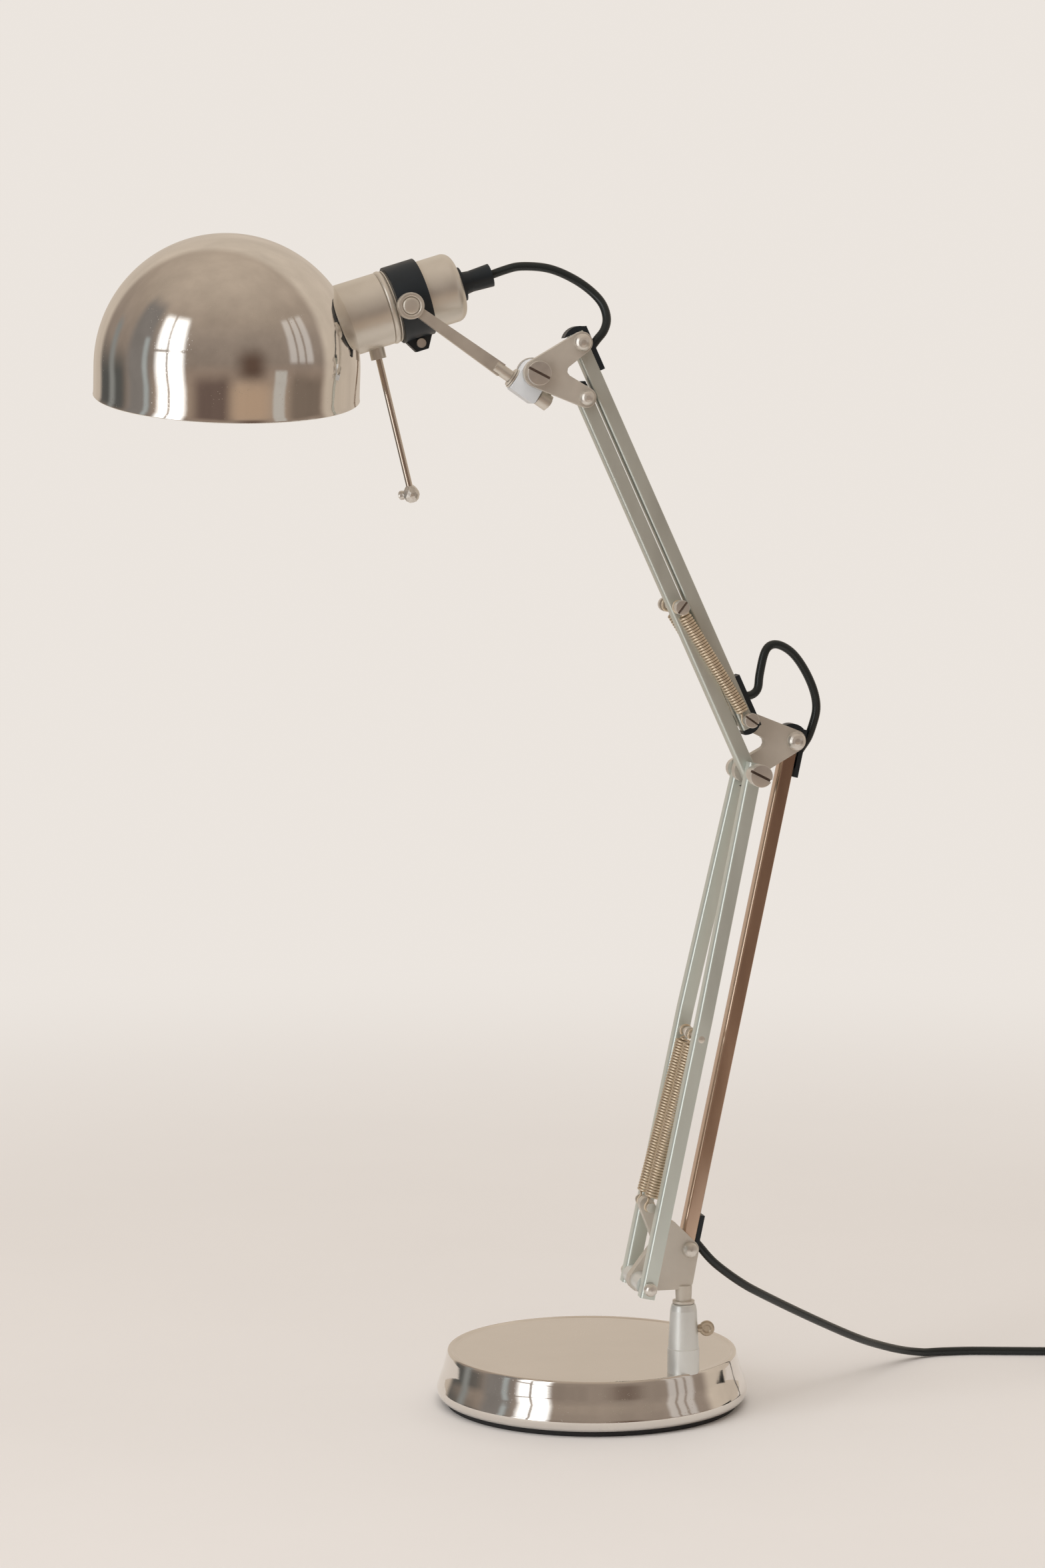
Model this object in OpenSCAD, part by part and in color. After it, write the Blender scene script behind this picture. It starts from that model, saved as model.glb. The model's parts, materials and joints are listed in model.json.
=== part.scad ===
// Spring balanced desk lamp on a round foot: two pairs of parallel channel bars,
// an elbow casting, a small domed shade on a two part lampholder, and its lead.
// Millimetres. X to the right, Y away from the viewer, Z up. The origin is the
// middle of the foot's underside. The arms stand in a plane turned by arm_yaw.

/* [Foot] */
// Largest width of the round foot
base_d = 150; // [144:1:156]
// How far the lip of the foot's top stands in from its widest part
lip_in = 5.5; // [4:0.25:8]
// Height of the foot with its pad
base_h = 26; // [25:0.5:29]
// Thickness of the foot's pressed cover
cover_t = 1.2; // [1:0.1:1.6]
// Height of the black pad
pad_h = 2; // [1.6:0.1:2.4]

/* [Post] */
// How far the post's middle stands in from the lip
post_in = 6.9; // [6:0.1:9]
// Direction of the post, seen from above
post_dir = -47.3; // [-60:1:-30]
// Diameter of the post's lower part
post_d = 15.2; // [14:0.1:16]
// Diameter of the post's top
post_top_d = 12.2; // [11.8:0.1:13]
// Height of the post above the foot
post_h = 32; // [30:0.5:34]
// Diameter of the swivel stem
stem_d = 7; // [6:0.1:7.4]

/* [Arms] */
// Turn of the arms' plane, seen from above
arm_yaw = 12.2; // [0:0.1:20]
// Height of the lowest pivot above the foot
foot_pivot_up = 44.5; // [44:0.5:47]
// Distance of the lowest pivot behind the swivel stem, towards the head
foot_pivot_s = 22; // [21:0.5:23]
// Pivot to pivot length of the lower bars
lower_len = 244.6; // [225:0.2:265]
// Lean of the lower bars from upright, away from the head
lower_lean = 11.84; // [8:0.01:15]
// Distance between the lower pair's pivots
link_len = 27.8; // [26:0.1:28.5]
// Pivot to pivot length of the upper bars
upper_len = 190.6; // [175:0.2:205]
// Lean of the upper bars from upright, towards the head
upper_lean = 24.5; // [24:0.1:30]
// Distance between the upper pair's pivots
stay_len = 25.1; // [24.8:0.1:26]

/* [Bars] */
// Width of a channel bar
bar_w = 6.8; // [6.4:0.1:7]
// Depth of a channel bar
bar_dep = 7.6; // [7.2:0.1:7.8]
// Sheet thickness of the bars
bar_t = 0.9; // [0.8:0.05:1.1]
// Thickness of the two castings
cast_t = 5.4; // [5:0.1:5.6]

/* [Springs] */
// Outer diameter of the upper springs
upper_spring_d = 6; // [5.6:0.1:6.4]
// Outer diameter of the lower springs
lower_spring_d = 7.4; // [7:0.1:7.8]
// Wire thickness
spring_wire = 1.1; // [1:0.1:1.3]
// Curls of one spring
spring_curls = 16; // [12:1:16]

/* [Head] */
// Outer diameter of the shade
shade_d = 121; // [116:0.5:126]
// Thickness of the shade's sheet
shade_t = 1; // [0.8:0.1:1.2]
// Straight skirt below the dome
skirt_h = 13.5; // [10:0.5:16]
// Roll of the shade away from the viewer
shade_roll = 11.2; // [5:0.2:15]
// Rise of the lampholder's axis above level
head_rise = 17.2; // [10:0.2:20]
// Diameter of the lampholder's front cup
cup_d = 33.4; // [32:0.1:35]
// Length of the handle rod
handle_len = 62; // [50:1:66]
// Diameter of the bulb
bulb_d = 38; // [34:0.5:39]

/* [Fits] */
// Pivot pin diameter
pin_d = 4; // [3.8:0.1:4.2]
// Running clearance of a pivot, on the radius
run_fit = 0.06; // [0.04:0.01:0.09]
// Gap between layers that slide past each other
layer_gap = 0.4; // [0.3:0.05:0.5]

/* [Lead] */
// Diameter of the lead
cord_d = 4; // [3.8:0.1:4.2]

/* [Hidden] */
eps = 0.01;
// Post and swivel
lip_d = base_d - 2 * lip_in;
post_r = lip_d / 2 - post_in;
post_x = post_r * cos(post_dir);
post_y = post_r * sin(post_dir);
post_top = base_h + post_h;
// Pivots in the plane of the arms: [along the arms' plane, height]
function polar(p, r, a) = [p[0] + r * cos(a), p[1] + r * sin(a)];
link_a = 29.3;
stay_a = 95;
p1 = [-foot_pivot_s, base_h + foot_pivot_up];
p2 = polar(p1, link_len, link_a);
el = polar(p1, lower_len, 90 - lower_lean);
rp = polar(el, link_len, link_a);
sp = polar(el, stay_len, stay_a);
t1 = polar(el, upper_len, 90 + upper_lean);
t2 = polar(t1, stay_len, stay_a);
kp = [t1[0] - 22.7, t1[1] + 11.1];
// Layers across the plane, minus is towards the viewer
q_cast = cast_t / 2;
q_up = -(q_cast + layer_gap + bar_dep / 2);
q_back = -q_up;
q_front_top = q_up - bar_dep - 0.6;
q_front_low = q_front_top - 3.5;
q_rear_low = q_back + 9.5;
q_head = 14.7;
q_stem = -6;
plate_t = 3.4;
q_plate = q_up - bar_dep / 2 - layer_gap - plate_t;
// Lower bars: where they bend inwards
bend_at = 128;
bar_over = 4.8;
bar_in = bar_dep - 2 * bar_t;
hole_d = pin_d + 2 * run_fit;
// Where the lead passes a moulded bar end: beside and along the bar, and its way out
slot_d = cord_d + 0.3;
strip_t = 2.2;
top_gate = [5.8, -3.7];
top_way = [0.88, 0.47];
knee_gate = [5.8, 8.8];
knee_way = [0.88, -0.47];
rear_gate = [6.4, -2.5];
rear_way = [0.4, 0.917];
low_gate = [5.8, 2];
low_way = [0.78, -0.62];
// Spring anchorages
anchor = [p1[0] + 3.5, p1[1] + 36];
low_pin = polar(p1, 119, 90 - lower_lean);
up_pin = polar(el, 85.2, 90 + upper_lean);
q_spring_near = q_up - bar_dep / 2 - 0.5 - upper_spring_d / 2;
q_spring_far = q_cast + 0.5 + upper_spring_d / 2;
q_low_near = -q_cast - 0.8 - lower_spring_d / 2;
q_low_far = q_cast + 0.8 + lower_spring_d / 2;
// Head
vp = [kp[0] - 57.4, kp[1] + 30.3];
// The lampholder's axis passes this far above the pivot it tilts on
hold_up = 1.8;
hp = [vp[0] - hold_up * sin(head_rise), vp[1] + hold_up * cos(head_rise)];
nut_a = 180 - 34.5;
block_c = [kp[0] - 4, kp[1] - 6.5];
block_l = 13.5;
stem_yoke_d = 4.5;
yoke_reach = norm(vp - block_c);
cup_front = 29.1;
strap_d = cup_d + 2.4;
strap_w = 14.6;
strap_to = 4;
strap_slip = 0.05;
bolt_d = 2.6;
bolt_in = [-20, -3];
rear_d = cup_d - 1.4;
rear_end = 27.8;
rear_corner = 4.6;
q_strap = q_head - sqrt(pow(strap_d / 2, 2) - pow(hold_up, 2));
shade_r = shade_d / 2;
shade_drop = 4.3;
seat_in = sqrt(pow(shade_r, 2) - pow(cup_d / 2 + shade_drop, 2));
shade_c = cup_front + seat_in - 0.4;
dome_steps = 11;
handle_at = 16.1;
handle_lean = 3.6;
relief_end = 43.8;
// Coil of spare lead beside the lamp
coil_layer_loops = 2.0625;
coil_pitch = cord_d + 0.8;
coil_in = 18.2;
coil_out = coil_in + coil_pitch * coil_layer_loops;
coil_rise = 0.25;
coil_layers = 4;
coil_x = 276;
lead_y = 94;
coil_y = lead_y - coil_out;
coil_z = cord_d / 2 + 1.4;
tie_t = 1;
plug_x = coil_x + 68;
plug_z = 7.5;

chrome_c = [0.82, 0.82, 0.83];
nickel_c = [0.68, 0.66, 0.61];
bar_c = [0.72, 0.70, 0.66];
spring_c = [0.66, 0.56, 0.42];
black_c = [0.08, 0.09, 0.10];
white_c = [0.90, 0.92, 0.95];
brass_c = [0.80, 0.66, 0.36];

// Which piece to show

// Helpers
module in_arms() {
  translate([post_x, post_y, 0]) rotate([0, 0, arm_yaw]) children();
}

// A round rod across the arms' plane
module across(p, d, q0, q1, fn = 28) {
  translate([p[0], q0, p[1]]) rotate([-90, 0, 0]) cylinder(d = d, h = q1 - q0, $fn = fn);
}

// A domed nut: a short round body and a dome, dir -1 points at the viewer
module dome_nut(p, d, q, body, dir = -1) {
  translate([p[0], q, p[1]]) rotate([-90 * dir, 0, 0]) {
    rotate_extrude($fn = 28) dome_outline(d, body);
  }
}

module dome_outline(d, body) {
  polygon(concat([[0, 0], [d / 2, 0]],
    [for (i = [0 : 5]) [d / 2 * cos(i * 18), body + d * 0.38 * sin(i * 18)]]));
}

// A slotted cheese head with its face at q
module slotted_head(p, d, q, h, slot_a, slot_w) {
  difference() {
    across(p, d, q, q + h, 36);
    translate([p[0], q, p[1]]) rotate([0, slot_a, 0])
      cube([d + 2, h * 0.7, slot_w], center = true);
  }
}

// Channel section, web towards the head, open behind
module channel_section() {
  difference() {
    square([bar_w, bar_dep], center = true);
    translate([bar_t, 0]) square([bar_w, bar_in], center = true);
  }
}

// Stands a bar's local Z along its lean, at pivot p and layer q
function on_bar(p, lean, v) = [p[0] + v[0] * cos(lean) + v[1] * sin(lean),
  p[1] - v[0] * sin(lean) + v[1] * cos(lean)];
module lean_to(p, q, lean) {
  translate([p[0], q, p[1]]) rotate([0, lean, 0]) children();
}

module plain_channel(p, q, lean, len) {
  lean_to(p, q, lean) translate([0, 0, -bar_over])
    linear_extrude(len + 2 * bar_over) channel_section();
}

// Tubes along a path
function unit(v) = v / norm(v);
function tangent(p, i) = unit(p[min(i + 1, len(p) - 1)] - p[max(i - 1, 0)]);
function flat_to(v, t) = unit(v - t * (v * t));
function side_of(t) = abs(t[2]) > 0.9 ? [1, 0, 0] : [0, 0, 1];
function carried(p) = [for (i = 0, n = flat_to(side_of(tangent(p, 0)), tangent(p, 0));
  i < len(p);
  i = i + 1, n = i < len(p) ? flat_to(n, tangent(p, i)) : n) n];

module tube(p, r, sides) {
  ns = carried(p);
  pts = [for (i = [0 : len(p) - 1]) let (t = tangent(p, i), b = cross(t, ns[i]))
    for (k = [0 : sides - 1]) let (a = k * 360 / sides) p[i] + r * (ns[i] * cos(a) + b * sin(a))];
  n = len(p);
  faces = concat(
    [for (i = [0 : n - 2]) for (k = [0 : sides - 1]) let (m = (k + 1) % sides)
      [i * sides + k, (i + 1) * sides + k, i * sides + m]],
    [for (i = [0 : n - 2]) for (k = [0 : sides - 1]) let (m = (k + 1) % sides)
      [(i + 1) * sides + k, (i + 1) * sides + m, i * sides + m]],
    [for (k = [1 : sides - 2]) [0, k, k + 1]],
    [for (k = [1 : sides - 2]) [(n - 1) * sides, (n - 1) * sides + k + 1, (n - 1) * sides + k]]);
  polyhedron(points = pts, faces = faces, convexity = 12);
}

// Smooth route through hand placed points
function spline_at(a, b, c, d, t) = 0.5 * (2 * b + (c - a) * t
  + (2 * a - 5 * b + 4 * c - d) * t * t + (3 * b - a - 3 * c + d) * t * t * t);
function route(p, n) = concat([for (i = [0 : len(p) - 2]) for (k = [0 : n - 1])
  spline_at(p[max(i - 1, 0)], p[i], p[i + 1], p[min(i + 2, len(p) - 1)], k / n)],
  [p[len(p) - 1]]);

// Least gap between parts of a tube that are at least skip rings apart
function least_gap(p, d, skip) = min([for (i = [0 : len(p) - 1 - skip])
  for (j = [i + skip : len(p) - 1]) norm(p[i] - p[j])]) - d;

// Springs
// Rings run 8 to a curl; each end runs straight to its pin
function spring_path(l, r, n, reach) = concat(
  [[0, 0, reach], [0, 0, reach + 1], [r * 0.55, 0, reach + 1.9]],
  [for (i = [1 : n * 8 - 1]) let (a = i * 45)
    [r * cos(a), r * sin(a), reach + 2 + (l - 2 * reach - 4) * i / (n * 8)]],
  [[r * 0.55, 0, l - reach - 1.9], [0, 0, l - reach - 1], [0, 0, l - reach]]);

module spring(p, to, q, d) {
  v = to - p;
  l = norm(v);
  r = (d - spring_wire) / 2;
  path = spring_path(l, r, spring_curls, pin_d / 2 + 0.3);
  echo("spring least gap", least_gap(path, spring_wire, 7));
  lean_to(p, q, atan2(v[0], v[1])) tube(path, spring_wire / 2, 6);
}

// Foot
function cover_outer() = concat(
  [[lip_d / 2 - 2.4, base_h - 0.9], [lip_d / 2 - 1.2, base_h - 0.1], [lip_d / 2 - 0.2, base_h - 0.3]],
  [[lip_d / 2 + 0.5, base_h - 1.4], [base_d / 2 - 3.1, base_h * 0.63], [base_d / 2 - 1, base_h * 0.44]],
  [for (a = [20 : -20 : -60]) [base_d / 2 - 5 + 5 * cos(a), 7 + 5 * sin(a)]]);

module base_cover() color(chrome_c) difference() {
  rotate_extrude($fn = 72) polygon(concat(
    [[0, base_h - 0.9]], cover_outer(),
    [[base_d / 2 - 4, 2.4], [base_d / 2 - 4, 4], [base_d / 2 - 2.4, 7], [base_d / 2 - 2.6, base_h * 0.44],
     [base_d / 2 - 4.9, base_h * 0.6], [lip_d / 2 - 1.4, base_h - 0.9 - cover_t],
     [0, base_h - 0.9 - cover_t]]));
  translate([post_x, post_y, 0]) cylinder(d = 8.2, h = base_h * 2, $fn = 28);
  translate([post_x, post_y, base_h - 0.9]) cylinder(d = post_d, h = 5, $fn = 40);
}

module base_weight() color([0.25, 0.25, 0.26]) difference() {
  translate([0, 0, pad_h + 0.6]) cylinder(d1 = base_d - 10, d2 = lip_d - 6,
    h = base_h - 0.9 - cover_t - pad_h - 0.6, $fn = 60);
  translate([post_x, post_y, 0]) cylinder(d = 8.2, h = base_h * 2, $fn = 28);
  translate([post_x, post_y, 0]) cylinder(d = 17, h = pad_h + 7.6, $fn = 28);
}

module base_pad() color(black_c) cylinder(d1 = base_d - 9.4, d2 = base_d - 8.4, h = pad_h + 0.6, $fn = 60);

// Post
module post() color(nickel_c) {
  translate([post_x, post_y, 0]) difference() {
    union() {
      translate([0, 0, base_h - 0.9]) rotate_extrude($fn = 40) polygon([[0, 0], [post_d / 2, 0],
        [post_d / 2, post_h * 0.36], [post_d / 2 - 0.3, post_h * 0.37],
        [post_top_d / 2 + 0.2, post_h * 0.93], [post_top_d / 2 - 0.4, post_h + 0.4],
        [post_top_d / 2 - 1, post_h + 0.9], [0, post_h + 0.9]]);
      translate([0, 0, pad_h + 2]) cylinder(d = 8, h = base_h - pad_h, $fn = 32);
    }
    translate([0, 0, base_h + 4]) cylinder(d = stem_d + 2 * run_fit, h = post_h, $fn = 32);
    translate([0, 0, post_top - 12]) rotate([0, 90, 0]) cylinder(d = 3.12, h = 20, $fn = 24);
  }
}

module post_nut() color(nickel_c) {
  translate([post_x, post_y, pad_h + 1.6]) difference() {
    cylinder(d = 14.5, h = 5, $fn = 6);
    translate([0, 0, -1]) cylinder(d = 8, h = 8, $fn = 32);
  }
  translate([post_x, post_y, pad_h + 6.6]) difference() {
    cylinder(d = 16.4, h = 1, $fn = 32);
    translate([0, 0, -1]) cylinder(d = 8, h = 4, $fn = 32);
  }
}

module thumb_screw() color(nickel_c) {
  translate([post_x, post_y, post_top - 12]) {
    translate([stem_d / 2 + 0.1, 0, 0]) rotate([0, 90, 0]) cylinder(d = 3, h = 5.3, $fn = 24);
    translate([post_d / 2 - 0.6, 0, 0]) rotate([0, 90, 0]) cylinder(d = 3.8, h = 1.6, $fn = 24);
    translate([post_d / 2 + 3.4, 1.3, 0]) rotate([90, 0, 0]) rotate_extrude($fn = 32)
      polygon([[0, 0.5], [1.4, 0.5], [2.1, 0], [3, 0], [3.6, 0.5], [3.6, 2.1], [3, 2.6], [2.1, 2.6],
        [1.4, 2.1], [0, 2.1]]);
  }
}

// Swivel bracket
module bracket_casting() color(nickel_c) {
  in_arms() difference() {
    union() {
      translate([0, q_cast, 0]) rotate([90, 0, 0]) linear_extrude(cast_t) {
        hull() {
          translate(p1) circle(d = 10.6, $fn = 30);
          translate(p2) circle(d = 9, $fn = 30);
          translate([-6.5, p2[1] + 11.4]) circle(d = 5, $fn = 30);
          translate([0, p1[1] - 1.2]) circle(d = 8, $fn = 30);
        }
        hull() {
          translate([-11.5, p2[1] + 6]) circle(d = 8, $fn = 30);
          translate(anchor) circle(d = 7, $fn = 30);
        }
      }
      translate([0, 0, post_top + 0.9]) cylinder(d1 = 7.4, d2 = 8, h = 8, $fn = 32);
      translate([0, 0, post_top + 0.3]) cylinder(d = 10.4, h = 1.2, $fn = 32);
      translate([0, 0, base_h + 5]) cylinder(d = stem_d, h = post_h, $fn = 32);
    }
    across(p1, pin_d, -20, 20);
    across(p2, pin_d, -20, 20);
    across(anchor, 3, -20, 20);
  }
}

module bracket_bolt() color(nickel_c) in_arms() {
  near = q_front_low - bar_dep / 2 - 0.3;
  far = q_rear_low + bar_dep / 2 + 0.3;
  across(p1, pin_d, near - 1, far + 1);
  dome_nut(p1, 6.2, near, 1.6, -1);
  dome_nut(p1, 6.2, far, 1.6, 1);
}

module bracket_spacers() color(nickel_c) in_arms() {
  near = q_front_low + bar_dep / 2 + 0.3;
  far = q_rear_low - bar_dep / 2 - 0.3;
  difference() {
    across(p1, 9, near, -q_cast);
    across(p1, pin_d, near - 1, 0);
  }
  difference() {
    across(p1, 9, q_cast, far);
    across(p1, pin_d, 0, far + 1);
  }
}

// Domed rivet that carries the lower end of the bar with the lead
module cord_bar_rivet() color(nickel_c) in_arms() bar_rivet(p2, 7.6);

module bar_rivet(p, d) {
  dome_nut(p, d, -q_cast, 0.8, -1);
  across(p, pin_d, -q_cast - 0.5, q_back + bar_dep / 2 + 1);
  dome_nut(p, 5.6, q_back + bar_dep / 2 + 0.3, 0.5, 1);
}

module spring_anchor() color(nickel_c) in_arms() {
  across(anchor, 3, q_low_near - 3.6, q_low_far + 3.6);
  across(anchor, 4.6, q_low_near - 4.6, q_low_near - 3.4);
  across(anchor, 4.6, q_low_far + 3.4, q_low_far + 4.6);
}

// Lower bars
// A bar that bends inwards above the spring pin
module bent_channel(q_low, q_top) {
  k = (q_top - q_low) / (lower_len - bend_at);
  lean_to(p1, q_low, lower_lean) {
    translate([0, 0, -bar_over]) linear_extrude(bend_at + bar_over) channel_section();
    multmatrix([[1, 0, 0, 0], [0, 1, k, -k * bend_at], [0, 0, 1, 0], [0, 0, 0, 1]])
      translate([0, 0, bend_at]) linear_extrude(lower_len - bend_at + bar_over) channel_section();
  }
}

module bar_holes(q) {
  across(p1, hole_d, q - 12, q + 12);
  across(el, pin_d + 0.6, q - 16, q + 16);
  across(low_pin, 3.6, q - 12, q + 12);
}

module lower_front_bar() color(bar_c) in_arms() difference() {
  bent_channel(q_front_low, q_front_top);
  bar_holes(q_front_low);
}

module lower_back_bar() color(bar_c) in_arms() difference() {
  bent_channel(q_rear_low, q_back);
  bar_holes(q_rear_low);
}

module lower_spring_pin() color(nickel_c) in_arms() {
  near = q_front_low - bar_dep / 2;
  far = q_rear_low + bar_dep / 2;
  across(low_pin, 3.6, near - 0.4, far + 0.4);
  slotted_head(low_pin, 5.8, near - 2, 2, 20, 0.9);
  dome_nut(low_pin, 5.8, far, 1.4, 1);
  across(low_pin, 5.4, -1.6, 1.6);
}

// Lower bar with the lead
module lower_cord_bar() color(bar_c) in_arms() difference() {
  plain_channel(p2, q_back, lower_lean, lower_len);
  across(p2, hole_d, 0, 20);
  across(rp, hole_d, 0, 20);
}

module lower_cord_bar_caps() color(black_c) in_arms() difference() {
  union() {
    bar_end(p2, q_back, lower_lean, false);
    bar_end(rp, q_back, lower_lean, true);
    strip(p2, q_back, lower_lean, false, 16, 4.7);
    strip(rp, q_back, lower_lean, true, 17, 5.4);
  }
  across(p2, hole_d, 0, 20);
  across(rp, hole_d, 0, 20);
  slot(p2, q_back, lower_lean, low_gate, low_way);
  slot(rp, q_back, lower_lean, rear_gate, rear_way);
}

// Rounded plastic end that closes a channel bar beyond its pivot
module bar_end(p, q, lean, up, web = 5.8, rear = 5.8) {
  dir = up ? 1 : -1;
  in_w = bar_w - bar_t + 0.2;
  lean_to(p, q, lean) {
    translate([bar_t / 2 + 0.2, 0, dir * (bar_over / 2 - 1.2)])
      cube([in_w, bar_in - 0.1, bar_over + 3.4], center = true);
    intersection() {
      rotate([90, 0, 0]) cylinder(r = bar_over + 2.8, h = bar_dep - 0.6, center = true, $fn = 36);
      translate([-web, -bar_dep, dir > 0 ? bar_over + 0.02 : -bar_over - 10])
        cube([web + rear, bar_dep * 2, 9.98]);
    }
  }
}

// Strip along the open side; the lead goes in through a slot in it
module strip(p, q, lean, up, reach, x) {
  dir = up ? -1 : 1;
  from = -(bar_over + 1);
  lean_to(p, q, lean) {
    translate([x, 0, dir * (from + reach) / 2]) cube([strip_t, bar_dep - 0.6, reach - from], center = true);
    translate([x - strip_t / 2 - 0.4, 0, dir * from / 2 - dir])
      cube([2, bar_in - 0.1, 4], center = true);
  }
}

module slot(p, q, lean, gate, way) {
  a = atan2(way[0], way[1]);
  lean_to(p, q, lean) translate([gate[0], 0, gate[1]]) rotate([0, a, 0])
    translate([0, 0, -12]) cylinder(d = slot_d, h = 22, $fn = 28);
}

// Elbow
module three_way(a, b, c, ra, rb, rc, fillet) {
  offset(r = -fillet) offset(delta = fillet) {
    hull() {
      translate(a) circle(r = ra, $fn = 36);
      translate(b) circle(r = rb, $fn = 36);
    }
    hull() {
      translate(b) circle(r = rb, $fn = 36);
      translate(c) circle(r = rc, $fn = 36);
    }
  }
}

module elbow_casting() color(nickel_c) in_arms() difference() {
  translate([0, q_cast, 0]) rotate([90, 0, 0]) linear_extrude(cast_t)
    three_way(sp, rp, el, 4.2, 5, 5.4, 3);
  across(el, pin_d, -20, 20);
  across(sp, pin_d, -20, 20);
  across(rp, pin_d, -20, 20);
}

module elbow_screw() color(nickel_c) in_arms() {
  near = q_front_top - bar_dep / 2 - layer_gap;
  far = q_back + bar_dep / 2 + layer_gap;
  across(el, pin_d, near - 8, far + 3);
  difference() {
    across(el, 8.6, near - 6, near);
    across(el, pin_d, near - 7, near + 1);
  }
  slotted_head(el, 10.4, near - 12, 6.1, 27, 1.3);
  dome_nut(el, 9.6, far, 3.8, 1);
}

module elbow_cord_bar_rivet() color(nickel_c) in_arms() bar_rivet(rp, 9);

module spring_stud() color(nickel_c) in_arms() {
  across(sp, pin_d, q_spring_near - 1, q_spring_far + 3.4);
  slotted_head(sp, 6.8, q_spring_near - 8.4, 4.6, 35, 1);
  across(sp, pin_d, q_spring_near - 4, q_spring_near);
  across(sp, 5.8, q_spring_far + 3.2, q_spring_far + 4.6);
}

// Upper bars
module upper_plain_bar() color(bar_c) in_arms() difference() {
  plain_channel(el, q_up, -upper_lean, upper_len);
  across(el, hole_d, q_up - 5, q_up + 5);
  across(t1, pin_d + 0.6, q_up - 5, q_up + 5);
  across(up_pin, pin_d, q_up - 5, q_up + 5);
}

module upper_plain_bar_caps() color(black_c) in_arms() difference() {
  union() {
    bar_end(el, q_up, -upper_lean, false, 5.8, bar_w / 2);
    bar_end(t1, q_up, -upper_lean, true, 5.8, bar_w / 2);
  }
  across(el, hole_d, q_up - 5, q_up + 5);
  across(t1, pin_d + 0.6, q_up - 5, q_up + 5);
}

module upper_spring_pin() color(nickel_c) in_arms() {
  across(up_pin, pin_d, q_spring_near - 4, q_spring_far + 4);
  slotted_head(up_pin, 6.6, q_spring_near - 7, 3.6, 25, 1);
  slotted_head(up_pin, 6.6, q_spring_far + 3.4, 3, 0, 0.01);
}

module upper_cord_bar() color(bar_c) in_arms() difference() {
  plain_channel(sp, q_up, -upper_lean, upper_len);
  across(sp, hole_d, q_up - 5, q_up + 5);
  across(t2, hole_d, q_up - 5, q_up + 5);
}

module upper_cord_bar_caps() color(black_c) in_arms() difference() {
  union() {
    bar_end(sp, q_up, -upper_lean, false, bar_w / 2, 5.8);
    bar_end(t2, q_up, -upper_lean, true);
    strip(sp, q_up, -upper_lean, false, 20, 4.7);
    strip(t2, q_up, -upper_lean, true, 15.5, 4.7);
  }
  across(sp, hole_d, q_up - 5, q_up + 5);
  across(t2, hole_d, q_up - 5, q_up + 5);
  slot(sp, q_up, -upper_lean, knee_gate, knee_way);
  slot(t2, q_up, -upper_lean, top_gate, top_way);
}

// Head bracket
module head_casting() color(nickel_c) in_arms() difference() {
  translate([0, q_plate + plate_t, 0]) rotate([90, 0, 0]) linear_extrude(plate_t)
    three_way(t2, kp, t1, 5, 6.6, 4.6, 2.4);
  across(kp, 5, q_plate - 1, q_plate + plate_t + 1);
  across(t1, pin_d, q_plate - 1, q_plate + plate_t + 1);
  across(t2, pin_d, q_plate - 1, q_plate + plate_t + 1);
}

module head_rivets() color(nickel_c) in_arms() for (p = [t1, t2]) {
  dome_nut(p, p == t1 ? 7 : 8.2, q_plate, p == t1 ? 1.2 : 0.9, -1);
  across(p, pin_d, q_plate - 0.5, q_up + bar_dep / 2 + 1);
  dome_nut(p, 5.6, q_up + bar_dep / 2 + 0.3, 0.5, 1);
}

module tilt_screw() color(nickel_c) in_arms() {
  back = q_stem + 4.8;
  slotted_head(kp, 10.9, q_plate - 3.8, 3.8, 27, 1.3);
  across(kp, 5, q_plate - 1, back + 3);
  difference() {
    across(kp, 14.4, back + layer_gap, back + layer_gap + 1.2, 36);
    across(kp, 5, back, back + 4);
  }
  difference() {
    translate([kp[0], back + layer_gap + 1.2, kp[1]]) rotate([-90, 0, 0])
      cylinder(d = 9, h = 3, $fn = 6);
    across(kp, 5, back, back + 8);
  }
}

// White clamp block: it tilts on the screw and holds the yoke's stem
module tilt_block() color(white_c) in_arms() difference() {
  translate([0, q_stem + 4.8, 0]) rotate([90, 0, 0]) linear_extrude(9.6) hull() {
    translate(kp) circle(r = 6.6, $fn = 36);
    translate(block_c) rotate(nut_a) {
      translate([block_l / 2 - 1.5, 3.4]) circle(r = 1.5, $fn = 24);
      translate([1.5 - block_l / 2, 3.4]) circle(r = 1.5, $fn = 24);
    }
  }
  across(kp, 5 + 2 * run_fit, -20, 8);
  translate([block_c[0], q_stem, block_c[1]]) rotate([0, 90 - nut_a, 0])
    cylinder(d = stem_yoke_d + 2 * run_fit, h = 40, center = true, $fn = 28);
}

// Yoke
module on_stem(off) {
  translate([block_c[0], q_stem, block_c[1]]) rotate([0, 90 - nut_a, 0])
    translate([0, 0, off]) children();
}

module yoke_arm() color(nickel_c) in_arms() {
  on_stem(-block_l / 2 - 6.8) cylinder(d = stem_yoke_d, h = block_l + 11, $fn = 28);
  on_stem(block_l / 2 + 1.95) cylinder(d = 5.6, h = 8.6, $fn = 28);
  difference() {
    on_stem(0) rotate([90, 0, 0]) linear_extrude(3.2, center = true) {
      polygon([[-3.1, block_l / 2 + 7], [3.1, block_l / 2 + 7], [3.1, block_l / 2 + 9],
        [2.3, yoke_reach - 5], [-2.3, yoke_reach - 5], [-3.1, block_l / 2 + 9]]);
      translate([0, yoke_reach]) circle(d = 12, $fn = 40);
    }
    across(vp, 8.1, -20, 8, 36);
  }
  difference() {
    across(vp, 12, q_stem - 2.3, q_stem + 2.2, 40);
    across(vp, 8 + 2 * run_fit, -20, 8, 36);
  }
}

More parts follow.
